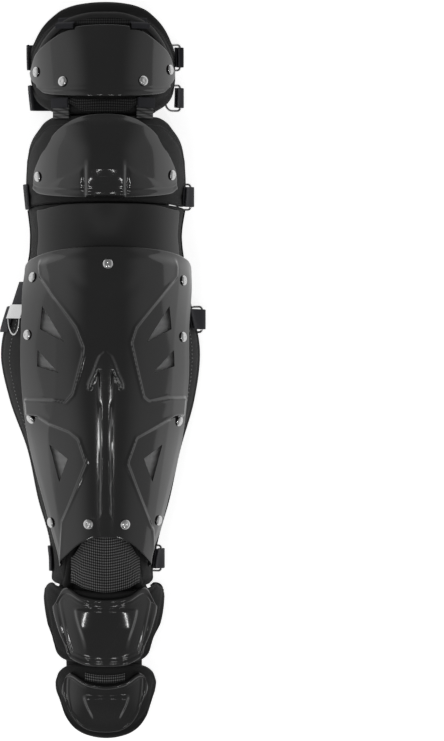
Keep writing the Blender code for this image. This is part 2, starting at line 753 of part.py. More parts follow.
def build_rivets(shop, plates, liner):
    """Rivets with their heads on the plates, and the holes that they go through."""
    for row in RIVETS:
        x, y = row.stretch.x(row.across), row.stretch.y(row.along)
        plate, relief = plates[row.name.split("_")[0]]

        def face(at_x, at_y):
            return ARCH.point(at_x, at_y, SEAT + PLATE_WALL + RIVET_SEAT + relief(at_x, at_y, 0.5, 0.5))

        step = RIVET_CAP / 2
        lean = (face(x + step, y) - face(x - step, y)).cross(face(x, y + step) - face(x, y - step))
        turn = lean.normalized().to_track_quat("Z", "Y").to_matrix().to_4x4()
        where = Matrix.Translation(face(x, y)) @ turn
        cap, shank = RIVET_CAP / 2, RIVET_SHANK / 2
        depth = PLATE_WALL + GAP
        tail = [(shank, -depth), (0.0, -depth)]
        if row.through:
            depth = SEAT + PLATE_WALL + RIVET_SEAT + relief(x, y, 0.5, 0.5) + LINER_WALL + GAP
            end = -depth - WASHER_WALL
            tail = [(shank, -depth), (cap, -depth), (cap, end), (0.0, end)]
        profile = [
            (0.0, RIVET_CAP_RISE), (0.62 * cap, 0.8 * RIVET_CAP_RISE), (cap, 0.25 * RIVET_CAP_RISE),
            (cap, 0.0), (shank, 0.0), *tail,
        ]
        rivet = shop.piece(row.name, turned(row.name, profile), "steel")
        rivet.matrix_local = where
        screw(rivet, RIVET_SIDES)
        hole = bpy.data.meshes.new(f"{row.name}_hole")
        shape = bmesh.new()
        bmesh.ops.create_cone(
            shape, cap_ends=True, segments=RIVET_SIDES, radius1=shank + RIVET_CLEAR,
            radius2=shank + RIVET_CLEAR, depth=2 * (depth + 0.004),
        )
        shape.to_mesh(hole)
        shape.free()
        bore = shop.cutter(f"{row.name}_hole", hole)
        bore.matrix_local = where
        cut(plate, bore)
        if row.through:
            cut(liner, bore)


def ribbon(shop, name, finish, ys, spine, wall):
    """Band of even thickness whose middle line at each y is spine(y), a row of places."""
    lines = [spine(y) for y in ys]
    points = [[line[i] for line in lines] for i in range(len(lines[0]))]
    thing = shop.piece(name, grid_mesh(name, points), finish)
    solidify(thing, wall, offset=0.0)
    return thing


def across_width(middle, width, steps=1):
    return [middle - width / 2 + width * i / steps for i in range(steps + 1)]


def build_strap(shop, row):
    """Strap with its stitched fold, clip, ring and ring tab.

    The strap is sewn to the left wall, turns under the left rim, lies on the ground and ends
    in a fold round the bar of its clip. The clip hooks the ring at the right wall.
    """
    middle = row.stretch.y(row.along)
    ys = across_width(middle, STRAP_WIDTH)
    half_web = WEBBING_WALL / 2
    tab_ys = across_width(middle, TAB_WIDTH)
    outside = max(ARCH.half(1, y) for y in ys)
    wire = RING_WIRE / 2
    bar_half_gap = CLIP_WALL / 2 + CLIP_CLEAR
    bar_z = WEBBING_WALL + bar_half_gap
    ring_far = outside + GAP + TAB_WALL + 2 * GAP + wire
    ring_near = ring_far - math.sqrt(RING_REACH**2 - RING_FALL**2)
    ring_low = wire + 2 * CLIP_CLEAR + CLIP_WALL + GAP
    ring_high = ring_low + RING_FALL
    bar_x = ring_near - CLIP_REACH

    def strap_line(y):
        half = ARCH.half(-1, y)
        rim = ARCH.rim_at(y)
        stand = 2 * GAP + half_web
        line = [ARCH.wall(-1, row.sewn + share * (86 - row.sewn), y, stand) for share in (0.0, 0.5, 1.0)]
        turn_x = -half + STRAP_TURN
        reach = half + stand + turn_x
        floor = half_web
        for degrees in (0, 25, 50, 72, 90):
            angle = math.radians(degrees)
            line.append(Vector((
                turn_x - reach * math.cos(angle), y, floor + (rim - floor) * (1 - math.sin(angle)))))
        fold = bar_half_gap + half_web
        line += [Vector((x, y, floor)) for x in (-0.5 * half, 0.0, 0.3 * half, bar_x + CLIP_BAR / 2)]
        nose = bar_x + CLIP_BAR / 2
        for degrees in (-45, 0, 45, 90):
            angle = math.radians(degrees)
            line.append(Vector((nose + fold * 0.8 * math.cos(angle), y, bar_z + fold * math.sin(angle))))
        rest = floor + WEBBING_WALL + GAP
        line += [
            Vector((bar_x - CLIP_BAR / 2, y, bar_z + fold)),
            Vector((bar_x - CLIP_BAR / 2 - 0.004, y, rest)),
            Vector((bar_x - CLIP_BAR / 2 - FOLD_LENGTH, y, rest)),
        ]
        return line

    ribbon(shop, f"{row.name}_strap", "webbing", ys, strap_line, WEBBING_WALL)

    clip_half = STRAP_WIDTH / 2 + CLIP_SIDE
    hook = wire + CLIP_CLEAR + CLIP_WALL / 2
    top = ring_low + hook
    slot_end = CLIP_BAR / 2 + CLIP_SLOT
    clip_rows = [
        (bar_x - CLIP_BAR / 2, bar_z, clip_half), (bar_x + CLIP_BAR / 2, bar_z, clip_half),
        (bar_x + slot_end, bar_z, clip_half), (bar_x + slot_end + 0.002, bar_z + 0.0004, clip_half),
        (bar_x + slot_end + 0.005, 0.5 * (bar_z + top), CLIP_PRONG),
        (ring_near - 0.0015, top, CLIP_PRONG / 2),
    ]
    for degrees in (20, 60, 100, 140, 180, 215):
        angle = math.radians(degrees)
        clip_rows.append((
            ring_near + hook * math.sin(angle), ring_low + hook * math.cos(angle), CLIP_PRONG / 2))
    clip_points = [
        [Vector((x, middle + side * half, z)) for side in (1, -1)] for x, z, half in clip_rows
    ]
    clip = shop.piece(f"{row.name}_clip", grid_mesh(f"{row.name}_clip", clip_points), "steel")
    solidify(clip, CLIP_WALL, offset=0.0)
    slot_x = (bar_x + CLIP_BAR / 2, bar_x + slot_end)
    slot_y = STRAP_WIDTH / 2 + GAP
    corners = [
        (slot_x[0], middle - slot_y), (slot_x[1], middle - slot_y),
        (slot_x[1], middle + slot_y), (slot_x[0], middle + slot_y),
    ]
    slot_name = f"{row.name}_clip_slot"
    cut(clip, shop.cutter(slot_name, prism(slot_name, corners, -0.01, 0.03)))

    build_ring(shop, f"{row.name}_ring", middle, (ring_near, ring_low), (ring_far, ring_high))

    def tab_line(y):
        inner, outer = GAP + TAB_WALL / 2, 2 * GAP + 1.5 * TAB_WALL
        line = [ARCH.wall(1, row.sewn + degrees, y, inner) for degrees in (0, 5)]
        leg = ring_far - wire - 2 * GAP - TAB_WALL / 2
        far_leg = ring_far + wire + 2 * GAP + TAB_WALL / 2
        line.append(Vector((leg, y, ring_high + 0.004)))
        turn = (far_leg - leg) / 2
        for degrees in (180, 225, 270, 315, 360):
            angle = math.radians(degrees)
            line.append(Vector((ring_far + turn * math.cos(angle), y, ring_high + turn * math.sin(angle))))
        line.append(Vector((far_leg, y, ring_high + 0.003)))
        line += [ARCH.wall(1, row.sewn + degrees, y, outer + GAP) for degrees in (4, 1)]
        return list(reversed(line))

    ribbon(shop, f"{row.name}_ring_tab", "webbing", tab_ys, tab_line, TAB_WALL)


def build_ring(shop, name, middle, near, far):
    """Wire ring, a rounded oblong that slopes from its near side up to its far side."""
    reach = math.hypot(far[0] - near[0], far[1] - near[1])
    half = RING_INSIDE / 2 + RING_WIRE / 2
    corner = RING_CORNER
    centres = (
        (reach - corner, half - corner, 0), (corner, half - corner, 90),
        (corner, corner - half, 180), (reach - corner, corner - half, 270),
    )
    flat = []
    for middle_x, middle_y, start in centres:
        for turn in (0, 45, 90):
            angle = math.radians(start + turn)
            flat.append((middle_x + corner * math.cos(angle), middle_y + corner * math.sin(angle)))
    curve = bpy.data.curves.new(name, "CURVE")
    curve.dimensions = "3D"
    curve.bevel_depth = RING_WIRE / 2
    curve.bevel_resolution = 1
    line = curve.splines.new("POLY")
    line.points.add(len(flat) - 1)
    line.use_cyclic_u = True
    for point, (x, y) in zip(line.points, flat):
        point.co = (x, y, 0, 1)
    ring = shop.piece(name, curve, "steel")
    slope = math.atan2(far[1] - near[1], far[0] - near[0])
    ring.location = (near[0], middle, near[1])
    ring.rotation_euler = (0, -slope, 0)


def build_links(shop):
    """Elastic links from the thigh flap to the knee, and the webbing tails on the toe flap."""
    stand = GAP + WEBBING_WALL / 2
    for side, name, middle in ((-1, "link_strap_left", -0.575), (1, "link_strap_right", 0.500)):
        x = THIGH.x(middle)
        ys = [THIGH.y(share) for share in (0.125, 0.06, 0.0)] + [KNEE.y(share) for share in (0.985, 0.960)]
        rows = [
            [ARCH.point(x + offset, y, stand) for offset in (-LINK_WIDTH / 2, 0.0, LINK_WIDTH / 2)]
            for y in reversed(ys)
        ]
        thing = shop.piece(name, grid_mesh(name, rows), "webbing")
        solidify(thing, WEBBING_WALL, offset=0.0)
    inside = -(TOE_PAD_WALL + SEAM + WEBBING_WALL / 2 + GAP)
    for name, middle in (("toe_tail_left", -0.54), ("toe_tail_right", 0.50)):
        x = UPPER_TOE.x(middle)
        rows = [
            [ARCH.point(x + offset, UPPER_TOE.y(share), inside)
             for offset in (-TAIL_WIDTH / 2, 0.0, TAIL_WIDTH / 2)]
            for share in (0.24, 0.41, 0.58, 0.75)
        ]
        thing = shop.piece(name, grid_mesh(name, rows), "webbing")
        solidify(thing, WEBBING_WALL, offset=0.0)
    tab = -(TOE_PAD_WALL + SEAM + LEATHER_WALL / 2)
    half = UPPER_TOE.x(0.37)
    ys = [LOWER_TOE.y(share) for share in (0.86, 0.94)]
    ys += [UPPER_TOE.y(share) for share in (0.06, 0.25, 0.48, 0.70)]
    rows = [[ARCH.point(half * a, y, tab) for a in (-1, -0.5, 0, 0.5, 1)] for y in ys]
    thing = shop.piece("toe_tab", grid_mesh("toe_tab", rows), "leather")
    solidify(thing, LEATHER_WALL, offset=0.0)


def build_shoulder_tabs(shop):
    """The two loops that hold the top edge of the thigh plate."""
    for name, middle in (("plate_loop_left", -0.51), ("plate_loop_right", 0.42)):
        x = THIGH.x(middle)
        stand = GAP + PLATE_WALL + GAP + TAB_WALL / 2
        levels = (
            (0.735, stand), (0.770, stand + GAP), (0.800, GAP + TAB_WALL), (0.845, GAP + TAB_WALL / 2),
        )
        rows = [
            [ARCH.point(x + offset, THIGH.y(share), lift + LIP_RISE * (share < 0.8))
             for offset in (-SHOULDER_TAB / 2, 0.0, SHOULDER_TAB / 2)]
            for share, lift in levels
        ]
        thing = shop.piece(name, grid_mesh(name, rows), "webbing")
        solidify(thing, TAB_WALL, offset=0.0)


def stand_on_origin(shop):
    """Moves the carrier so that the middle of the guard's plan is over the origin."""
    bpy.context.view_layer.update()
    graph = bpy.context.evaluated_depsgraph_get()
    low = Vector((math.inf,) * 3)
    high = Vector((-math.inf,) * 3)
    for thing in shop.parts.objects:
        if thing.type == "EMPTY":
            continue
        shape = thing.evaluated_get(graph)
        for vert in shape.to_mesh().vertices:
            place = thing.matrix_world @ vert.co
            low = Vector(map(min, low, place))
            high = Vector(map(max, high, place))
        shape.to_mesh_clear()
    shop.carrier.location = (-(low.x + high.x) / 2, -(low.y + high.y) / 2, -low.z)
    bpy.context.view_layer.update()


def main():
    clear_scene()
    shop = Workshop()
    liner = build_pads(shop)
    thigh, knee, shin = build_plates(shop)
    cut_vents(shop, shin)
    plates = {"thigh": (thigh, plate_lip), "knee": (knee, knee_relief), "shin": (shin, shin_relief)}
    build_rivets(shop, plates, liner)
    for row in STRAPS:
        build_strap(shop, row)
    build_links(shop)
    build_shoulder_tabs(shop)
    stand_on_origin(shop)


main()
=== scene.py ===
"""Looks of a catcher's leg guard that lies on its back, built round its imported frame.

Every pad, plate and strap is a surface over one long arch, which runs from the toe flap at
the low end of Y to the thigh flap at its high end. Lengths are in metres and +Z is up.
"""

import logging
import math
from dataclasses import dataclass, field
from enum import Enum
from typing import Callable, Optional, Sequence

import bmesh
import bpy
import numpy as np
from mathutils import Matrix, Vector

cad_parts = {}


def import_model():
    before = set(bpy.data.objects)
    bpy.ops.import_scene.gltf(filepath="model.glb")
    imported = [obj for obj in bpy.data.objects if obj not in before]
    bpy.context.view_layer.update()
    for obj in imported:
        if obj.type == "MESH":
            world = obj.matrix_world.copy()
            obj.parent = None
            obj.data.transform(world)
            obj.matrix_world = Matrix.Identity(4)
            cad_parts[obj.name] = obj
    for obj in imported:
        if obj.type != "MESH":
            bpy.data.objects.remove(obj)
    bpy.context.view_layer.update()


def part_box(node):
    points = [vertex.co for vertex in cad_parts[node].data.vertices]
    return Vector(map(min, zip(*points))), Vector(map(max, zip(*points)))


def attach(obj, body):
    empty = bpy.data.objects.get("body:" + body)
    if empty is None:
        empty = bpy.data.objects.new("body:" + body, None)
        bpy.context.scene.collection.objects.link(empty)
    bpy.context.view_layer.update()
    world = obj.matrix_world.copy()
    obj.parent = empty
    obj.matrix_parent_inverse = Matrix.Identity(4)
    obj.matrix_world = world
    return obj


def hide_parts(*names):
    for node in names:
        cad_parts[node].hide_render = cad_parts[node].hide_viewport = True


LOG = logging.getLogger("leg_guard")
Array = np.ndarray
Relief = Callable[[Array, Array, Array, Array], Array]
Share = Callable[[Array, Array], Array]

BODY = "root"
SIDES = ((-1, "left"), (1, "right"))
UP = np.array([0.0, 0.0, 1.0])
ALONG = np.array([0.0, 1.0, 0.0])

# Walls of the plates, pads and webbing
PLATE_WALL = 0.003
BAND_WALL = 0.0025
LINER_WALL = 0.010
KNEE_PAD_WALL = 0.009
TOE_PAD_WALL = 0.008
WEBBING_WALL = 0.0018
TAB_WALL = 0.0014

# Clearances between neighbours
GAP = 0.0004
SEAT = 0.0010
SEAM = 0.0014

# Height of the plates' outer face over the arch, and the rounding of their rims
PLATE_FACE = SEAT + PLATE_WALL
PLATE_RIM = 0.0014

# Largest share of the arch's own half width that a patch reaches, and how full a lining is
REACH = 0.9985

# Reliefs of the plates
LIP_RISE = 0.0014
PANEL_RISE = 0.0035
ARROW_RISE = 0.0022
CAP_RISE = 0.0030
TOE_PANEL_RISE = 0.0026

# Straps and their hardware
STRAP_WIDTH = 0.0254
TAB_WIDTH = 0.020
RING_INSIDE = 0.023
RING_REACH = 0.018
RING_FALL = 0.010
RING_WIRE = 0.0024
CLIP_WALL = 0.0012
CLIP_BAR = 0.0032
CLIP_SLOT = 0.0040
CLIP_SIDE = 0.0022
CLIP_PRONG = 0.008
CLIP_REACH = 0.0163
CLIP_CLEAR = 0.00035
FOLD_LENGTH = 0.020
RIVET_CAP = 0.0105
RIVET_RISE = 0.0022
RIVET_SHANK = 0.0022
RIVET_STAND = 0.0007

# Angle round the arch at which a strap leaves it, where the crest is at 0 and the rim at 90
LEAVES = 86


def smooth_step(value: Array, start: float, end: float) -> Array:
    """0 before start, 1 past end, and between them 3t^2 - 2t^3 of the share t of the way."""
    t = np.clip((np.asarray(value, float) - start) / (end - start), 0.0, 1.0)
    return t * t * (3 - 2 * t)


def unit(rows: Array) -> Array:
    """Each row divided by its length."""
    return rows / np.maximum(np.linalg.norm(rows, axis=-1, keepdims=True), 1e-12)


def cubic(t: Array, first: Array, last: Array, slope_first: Array, slope_last: Array) -> Array:
    """Cubic from first to last at the share t of the way, with its slope given at each end."""
    return (
        first * (2 * t**3 - 3 * t**2 + 1) + last * (3 * t**2 - 2 * t**3)
        + slope_first * (t**3 - 2 * t**2 + t) + slope_last * (t**3 - t**2))


@dataclass(frozen=True)
class Curve:
    """Smooth curve through rows of (place, value).

    Between two rows it is the cubic that meets both values, with the slope of the chord
    between the neighbours at each row and level ends.
    """

    rows: tuple

    def __call__(self, at: Array) -> Array:
        """Values of the curve at the given places, level past its ends."""
        places, values = np.array(self.rows, float).T
        slopes = np.zeros_like(values)
        slopes[1:-1] = (values[2:] - values[:-2]) / (places[2:] - places[:-2])
        at = np.clip(np.asarray(at, float), places[0], places[-1])
        i = np.clip(np.searchsorted(places, at, "right") - 1, 0, len(places) - 2)
        run = places[i + 1] - places[i]
        return cubic((at - places[i]) / run, values[i], values[i + 1], slopes[i] * run, slopes[i + 1] * run)


@dataclass(frozen=True)
class Stretch:
    """One stretch of the guard, with sections of (along, left, right, crest, rim, sharp)."""

    low: float
    length: float
    half: float
    rise: float
    sections: tuple

    def y(self, share: Array) -> Array:
        """Place along the guard of a share of the stretch."""
        return self.low + share * self.length

    def x(self, share: Array) -> Array:
        """Distance from the middle of a share of the half width."""
        return share * self.half

    def share(self, y: Array) -> Array:
        """Share of the stretch of a place along the guard."""
        return (y - self.low) / self.length


LOWER_TOE = Stretch(0.0, 0.075, 0.052, 0.056, (
    (0.00, 0.97, 0.97, 0.46, 0.07, 1.0),
    (0.50, 1.02, 1.00, 0.77, 0.09, 1.0),
))
UPPER_TOE = Stretch(0.075, 0.087, 0.063, 0.080, (
    (0.00, 0.89, 0.87, 0.71, 0.12, 1.0),
    (0.50, 1.05, 1.00, 0.87, 0.16, 1.0),
    (0.82, 1.02, 0.95, 0.96, 0.18, 1.0),
))
SHIN = Stretch(0.162, 0.312, 0.100, 0.112, (
    (0.00, 0.555, 0.475, 0.72, 0.19, 1.00),
    (0.12, 0.575, 0.525, 0.79, 0.19, 1.00),
    (0.25, 0.69, 0.64, 0.85, 0.16, 1.15),
    (0.41, 0.80, 0.75, 0.92, 0.12, 1.25),
    (0.57, 0.98, 0.89, 0.97, 0.07, 1.30),
    (0.73, 1.07, 0.945, 1.00, 0.05, 1.30),
    (0.88, 0.96, 0.855, 0.99, 0.10, 1.25),
))
KNEE = Stretch(0.474, 0.151, 0.080, 0.127, (
    (0.00, 0.99, 0.98, 0.85, 0.15, 1.15),
    (0.20, 0.95, 0.94, 0.83, 0.17, 1.0),
    (0.40, 0.99, 0.99, 0.88, 0.11, 1.0),
    (0.59, 1.02, 1.01, 0.98, 0.07, 1.0),
    (0.76, 1.00, 0.99, 1.00, 0.07, 1.0),
    (0.90, 0.95, 0.93, 0.92, 0.09, 1.0),
))
THIGH = Stretch(0.625, 0.113, 0.076, 0.106, (
    (0.00, 0.97, 0.92, 0.99, 0.11, 1.0),
    (0.21, 1.00, 0.925, 0.94, 0.10, 1.0),
    (0.48, 1.02, 0.92, 0.88, 0.08, 1.0),
    (0.74, 1.02, 0.91, 0.79, 0.09, 1.0),
    (1.00, 1.00, 0.89, 0.66, 0.13, 1.0),
))
STRETCHES = (LOWER_TOE, UPPER_TOE, SHIN, KNEE, THIGH)


class Arch:
    """The guard's own surface, smooth through the sections of every stretch.

    Over a place x, y its height is rim + (crest - rim) * (1 - (x / half)^2)^(sharp / 2).
    """

    STEEPEST = 0.0012
    STEP = 0.001

    def __init__(self, stretches: Sequence[Stretch]) -> None:
        """Collects the sections of the stretches into one curve for each measure."""
        rows = [(part.y(s[0]), part, s) for part in stretches for s in part.sections]
        self.left = Curve(tuple((y, part.half * s[1]) for y, part, s in rows))
        self.right = Curve(tuple((y, part.half * s[2]) for y, part, s in rows))
        self.crest = Curve(tuple((y, part.rise * s[3]) for y, part, s in rows))
        self.rim = Curve(tuple((y, part.rise * s[4]) for y, part, s in rows))
        self.sharp = Curve(tuple((y, s[5]) for y, _, s in rows))

    def half(self, side: Array, y: Array) -> Array:
        """Half width on one side, left below 0 and right above."""
        return np.where(np.asarray(side) < 0, self.left(y), self.right(y))

    def height(self, x: Array, y: Array) -> Array:
        """Height of the arch over places in plan."""
        share = np.minimum(np.abs(x) / self.half(x, y), 1.0)
        rest = np.maximum(1 - share**2, self.STEEPEST)
        return self.rim(y) + (self.crest(y) - self.rim(y)) * rest ** (self.sharp(y) / 2)

    def normal(self, x: Array, y: Array) -> Array:
        """Directions that leave the arch, from its slope across and its tilt along."""
        half = self.half(x, y)
        share = np.minimum(np.abs(x) / half, 1.0)
        rest = np.maximum(1 - share**2, self.STEEPEST)
        sharp = self.sharp(y)
        rise = self.crest(y) - self.rim(y)
        fall = np.copysign(rise * sharp * share / half, x) * rest ** (sharp / 2 - 1)
        tilt = (self.height(x, y + self.STEP) - self.height(x, y - self.STEP)) / (2 * self.STEP)
        return unit(np.stack([fall, -tilt, np.ones_like(fall)], axis=-1))

    def point(self, x: Array, y: Array, lift: Array = 0.0) -> Array:
        """Places at a height above the arch, measured square to it."""
        x, y = np.broadcast_arrays(np.asarray(x, float), np.asarray(y, float))
        lift = np.broadcast_to(np.asarray(lift, float), x.shape)
        flat = np.stack([x, y, self.height(x, y)], axis=-1)
        return flat + lift[..., None] * self.normal(x, y)

    def wall(self, side: int, degrees: float, y: Array, lift: float = 0.0) -> Array:
        """Places on one side of the arch, from 0 degrees at the crest to 90 at the rim."""
        return self.point(side * self.half(side, y) * math.sin(math.radians(degrees)), y, lift)


ARCH = Arch(STRETCHES)


@dataclass(frozen=True)
class Outline:
    """Plan of a patch, in shares of its stretch.

    low and high are rows of (share from the middle to the side, share along the stretch), and
    sides are rows of (share from the low to the high edge, left half width, right half width).
    """

    stretch: Stretch
    low: tuple
    high: tuple
    sides: tuple

    def edge(self, sign: Array, up: Array) -> Array:
        """Half width of the patch at a share up, on the left or the right."""
        left = Curve(tuple((row[0], row[1]) for row in self.sides))(up)
        right = Curve(tuple((row[0], row[2]) for row in self.sides))(up)
        return self.stretch.x(np.where(sign < 0, left, right))

    def place(self, across: Array, up: Array) -> tuple[Array, Array]:
        """Places in plan, even in angle across the arch and even in length along it.

        Args:
            across: shares from -1 at the left edge to 1 at the right edge.
            up: shares from 0 at the low edge to 1 at the high edge.

        Returns:
            Their x and y.
        """
        low_curve, high_curve = Curve(self.low), Curve(self.high)
        low, high = self.stretch.y(low_curve(abs(across))), self.stretch.y(high_curve(abs(across)))
        y = low + up * (high - low)
        edge_low, edge_high = self.stretch.y(low_curve(1.0)), self.stretch.y(high_curve(1.0))
        edge = self.edge(across, up)
        half = ARCH.half(across, edge_low + up * (edge_high - edge_low))
        edge = np.minimum(edge, REACH * half)
        lean = np.arcsin(edge / half)
        x = np.copysign(edge * np.sin(abs(across) * lean) / np.sin(lean), across)
        return x, y


THIGH_PAD = Outline(
    THIGH,
    ((0.0, 0.010), (0.55, 0.012), (0.7, 0.045), (0.82, 0.088), (0.92, 0.15), (1.0, 0.24)),
    (
        (0.0, 0.993), (0.25, 0.977), (0.42, 0.935), (0.54, 0.87), (0.65, 0.80), (0.74, 0.73),
        (0.82, 0.665), (0.91, 0.605), (1.0, 0.50),
    ),
    ((0.0, 0.985, 0.905), (0.3, 1.005, 0.915), (1.0, 1.015, 0.915)),
)
THIGH_PLATE = Outline(
    THIGH,
    ((0.0, 0.135), (0.5, 0.15), (0.85, 0.18), (1.0, 0.23)),
    ((0.0, 0.775), (0.15, 0.772), (0.30, 0.758), (0.44, 0.718), (0.64, 0.633), (0.86, 0.52), (1.0, 0.38)),
    ((0.0, 0.86, 0.79), (0.5, 0.94, 0.85), (1.0, 0.965, 0.865)),
)
KNEE_PAD = Outline(
    KNEE,
    ((0.0, 0.405), (0.6, 0.400), (1.0, 0.385)),
    ((0.0, 0.993), (0.50, 0.985), (0.61, 0.955), (0.70, 0.907), (0.80, 0.854), (0.88, 0.80), (1.0, 0.70)),
    ((0.0, 0.985, 0.985), (0.5, 1.010, 1.000), (1.0, 1.000, 0.990)),
)
KNEE_SHELL = Outline(
    KNEE,
    ((0.0, 0.445), (0.6, 0.455), (0.9, 0.475), (1.0, 0.50)),
    ((0.0, 0.985), (0.4, 0.965), (0.7, 0.91), (0.9, 0.85), (1.0, 0.80)),
    ((0.0, 0.86, 0.84), (0.35, 0.86, 0.84), (0.75, 0.77, 0.75), (1.0, 0.68, 0.66)),
)
KNEE_CUP = Outline(
    KNEE,
    ((0.0, 0.06), (0.6, 0.10), (1.0, 0.34)),
    ((0.0, 0.90), (0.6, 0.86), (1.0, 0.62)),
    ((0.0, 0.70, 0.70), (0.5, 0.74, 0.74), (1.0, 0.70, 0.70)),
)
BAND_PAD = Outline(
    KNEE,
    ((0.0, 0.008), (1.0, 0.008)),
    ((0.0, 0.400), (0.6, 0.395), (1.0, 0.380)),
    ((0.0, 0.985, 0.975), (0.5, 0.948, 0.938), (1.0, 0.985, 0.985)),
)
BAND_PLATE = Outline(
    KNEE,
    ((0.0, 0.085), (0.5, 0.072), (1.0, 0.040)),
    ((0.0, 0.415), (0.5, 0.405), (1.0, 0.365)),
    ((0.0, 0.83, 0.88), (0.5, 0.81, 0.86), (1.0, 0.83, 0.88)),
)
SHIN_LINER = Outline(
    SHIN,
    (
        (0.0, 0.150), (0.40, 0.125), (0.50, 0.06), (0.58, -0.030), (0.66, -0.025), (0.80, -0.018),
        (1.0, -0.012),
    ),
    ((0.0, 0.996), (1.0, 0.996)),
    (
        (0.00, 0.553, 0.473), (0.12, 0.573, 0.523), (0.25, 0.687, 0.637), (0.41, 0.797, 0.747),
        (0.57, 0.977, 0.887), (0.73, 1.067, 0.967), (0.88, 0.957, 0.897), (1.00, 0.790, 0.782),
    ),
)
SHIN_PLATE = Outline(
    SHIN,
    ((0.0, 0.133), (0.4, 0.118), (0.75, 0.072), (0.92, 0.045), (1.0, 0.035)),
    ((0.0, 1.058), (0.5, 1.047), (0.85, 1.018), (0.96, 0.998), (1.0, 0.978)),
    (
        (0.00, 0.440, 0.410), (0.14, 0.530, 0.520), (0.33, 0.680, 0.660), (0.47, 0.770, 0.745),
        (0.64, 0.822, 0.795), (0.78, 0.824, 0.797), (0.93, 0.785, 0.795), (1.00, 0.755, 0.785),
    ),
)
SHIN_CUSHION = Outline(
    SHIN,
    ((0.0, 0.20), (0.7, 0.215), (1.0, 0.26)),
    ((0.0, 0.865), (0.7, 0.85), (1.0, 0.79)),
    ((0.0, 0.34, 0.34), (0.35, 0.42, 0.42), (0.8, 0.55, 0.55), (1.0, 0.52, 0.52)),
)
ANKLE = Outline(
    SHIN,
    ((0.0, -0.0465), (0.6, -0.034), (1.0, -0.016)),
    ((0.0, 0.1485), (0.6, 0.1185), (1.0, 0.066)),
    ((0.0, 0.345, 0.305), (0.4, 0.320, 0.280), (1.0, 0.29, 0.26)),
)
UPPER_TOE_PAD = Outline(
    UPPER_TOE,
    ((0.0, 0.012), (0.6, 0.025), (0.85, 0.10), (1.0, 0.28)),
    ((0.0, 0.825), (0.5, 0.865), (0.75, 0.935), (0.9, 0.91), (1.0, 0.78)),
    ((0.0, 0.87, 0.76), (0.4, 0.96, 0.89), (1.0, 1.01, 0.94)),
)
UPPER_TOE_PLATE = Outline(
    UPPER_TOE,
    ((0.0, -0.020), (0.5, -0.005), (0.85, 0.07), (1.0, 0.14)),
    ((0.0, 0.76), (0.4, 0.80), (0.62, 0.88), (0.75, 0.87), (1.0, 0.68)),
    ((0.0, 0.60, 0.565), (0.5, 0.73, 0.69), (1.0, 0.81, 0.77)),
)
LOWER_TOE_PAD = Outline(
    LOWER_TOE,
    ((0.0, 0.003), (0.35, 0.04), (0.6, 0.13), (0.8, 0.28), (1.0, 0.50)),
    ((0.0, 0.985), (0.6, 0.975), (0.85, 0.91), (1.0, 0.78)),
    ((0.0, 0.92, 0.90), (0.5, 0.99, 0.96), (1.0, 1.00, 0.98)),
)
LOWER_TOE_PLATE = Outline(
    LOWER_TOE,
    ((0.0, 0.094), (0.35, 0.12), (0.6, 0.20), (0.8, 0.34), (1.0, 0.54)),
    ((0.0, 0.735), (0.4, 0.78), (0.72, 0.895), (0.86, 0.87), (1.0, 0.72)),
    ((0.0, 0.76, 0.68), (0.5, 0.81, 0.74), (1.0, 0.80, 0.76)),
)


@dataclass
class Surface:
    """Mesh arrays: places, four-sided faces, the cloth place of each corner and each face's finish."""

    places: Array
    faces: Array
    cloth: Array
    finish: Array

    def turned_over(self) -> "Surface":
        """The same surface, facing the other way."""
        return Surface(self.places, self.faces[:, ::-1], self.cloth[:, ::-1], self.finish)


def joined(parts: Sequence[Surface]) -> Surface:
    """One surface out of several, each keeping its own faces."""
    starts = np.cumsum([0] + [len(part.places) for part in parts[:-1]])
    return Surface(
        np.concatenate([part.places for part in parts]),
        np.concatenate([part.faces + start for part, start in zip(parts, starts)]),
        np.concatenate([part.cloth for part in parts]),
        np.concatenate([part.finish for part in parts]),
    )


def lengths(points: Array, axis: int) -> Array:
    """Length travelled along an axis of a grid, from 0."""
    steps = np.linalg.norm(np.diff(points, axis=axis), axis=-1)
    start = np.zeros_like(np.take(steps, [0], axis=axis))
    return np.concatenate([start, np.cumsum(steps, axis=axis)], axis=axis)


def grid_faces(rows: int, cols: int, wrap: tuple[bool, bool] = (False, False)) -> tuple[Array, Array]:
    """Faces over a grid of rows and columns.

    Args:
        rows: number of rows, along the piece.
        cols: number of columns, across it.
        wrap: whether the last row joins the first, and the last column the first.

    Returns:
        The faces as place numbers, and their corners as unwrapped (row, column).
    """
    i, j = np.meshgrid(
        np.arange(rows if wrap[0] else rows - 1), np.arange(cols if wrap[1] else cols - 1), indexing="ij")
    corners = np.stack([
        np.stack([i, j], -1), np.stack([i, j + 1], -1),
        np.stack([i + 1, j + 1], -1), np.stack([i + 1, j], -1)], axis=2).reshape(-1, 4, 2)
    faces = (corners[..., 0] % rows) * cols + corners[..., 1] % cols
    return faces, corners


def sheet_of(points: Array, wrap: tuple[bool, bool] = (False, False)) -> Surface:
    """Surface over a grid of places, whose cloth place is the length across and along it."""
    rows, cols = points.shape[:2]
    closed = np.concatenate([points, points[:1]]) if wrap[0] else points
    closed = np.concatenate([closed, closed[:, :1]], axis=1) if wrap[1] else closed
    across, along = lengths(closed, 1), lengths(closed, 0)
    middle = across[:, closed.shape[1] // 2][:, None]
    cloth = np.stack([across - middle, along], axis=-1)
    faces, corners = grid_faces(rows, cols, wrap)
    uv = cloth[corners[..., 0], corners[..., 1]]
    return Surface(points.reshape(-1, 3), faces, uv, np.zeros(len(faces), int))


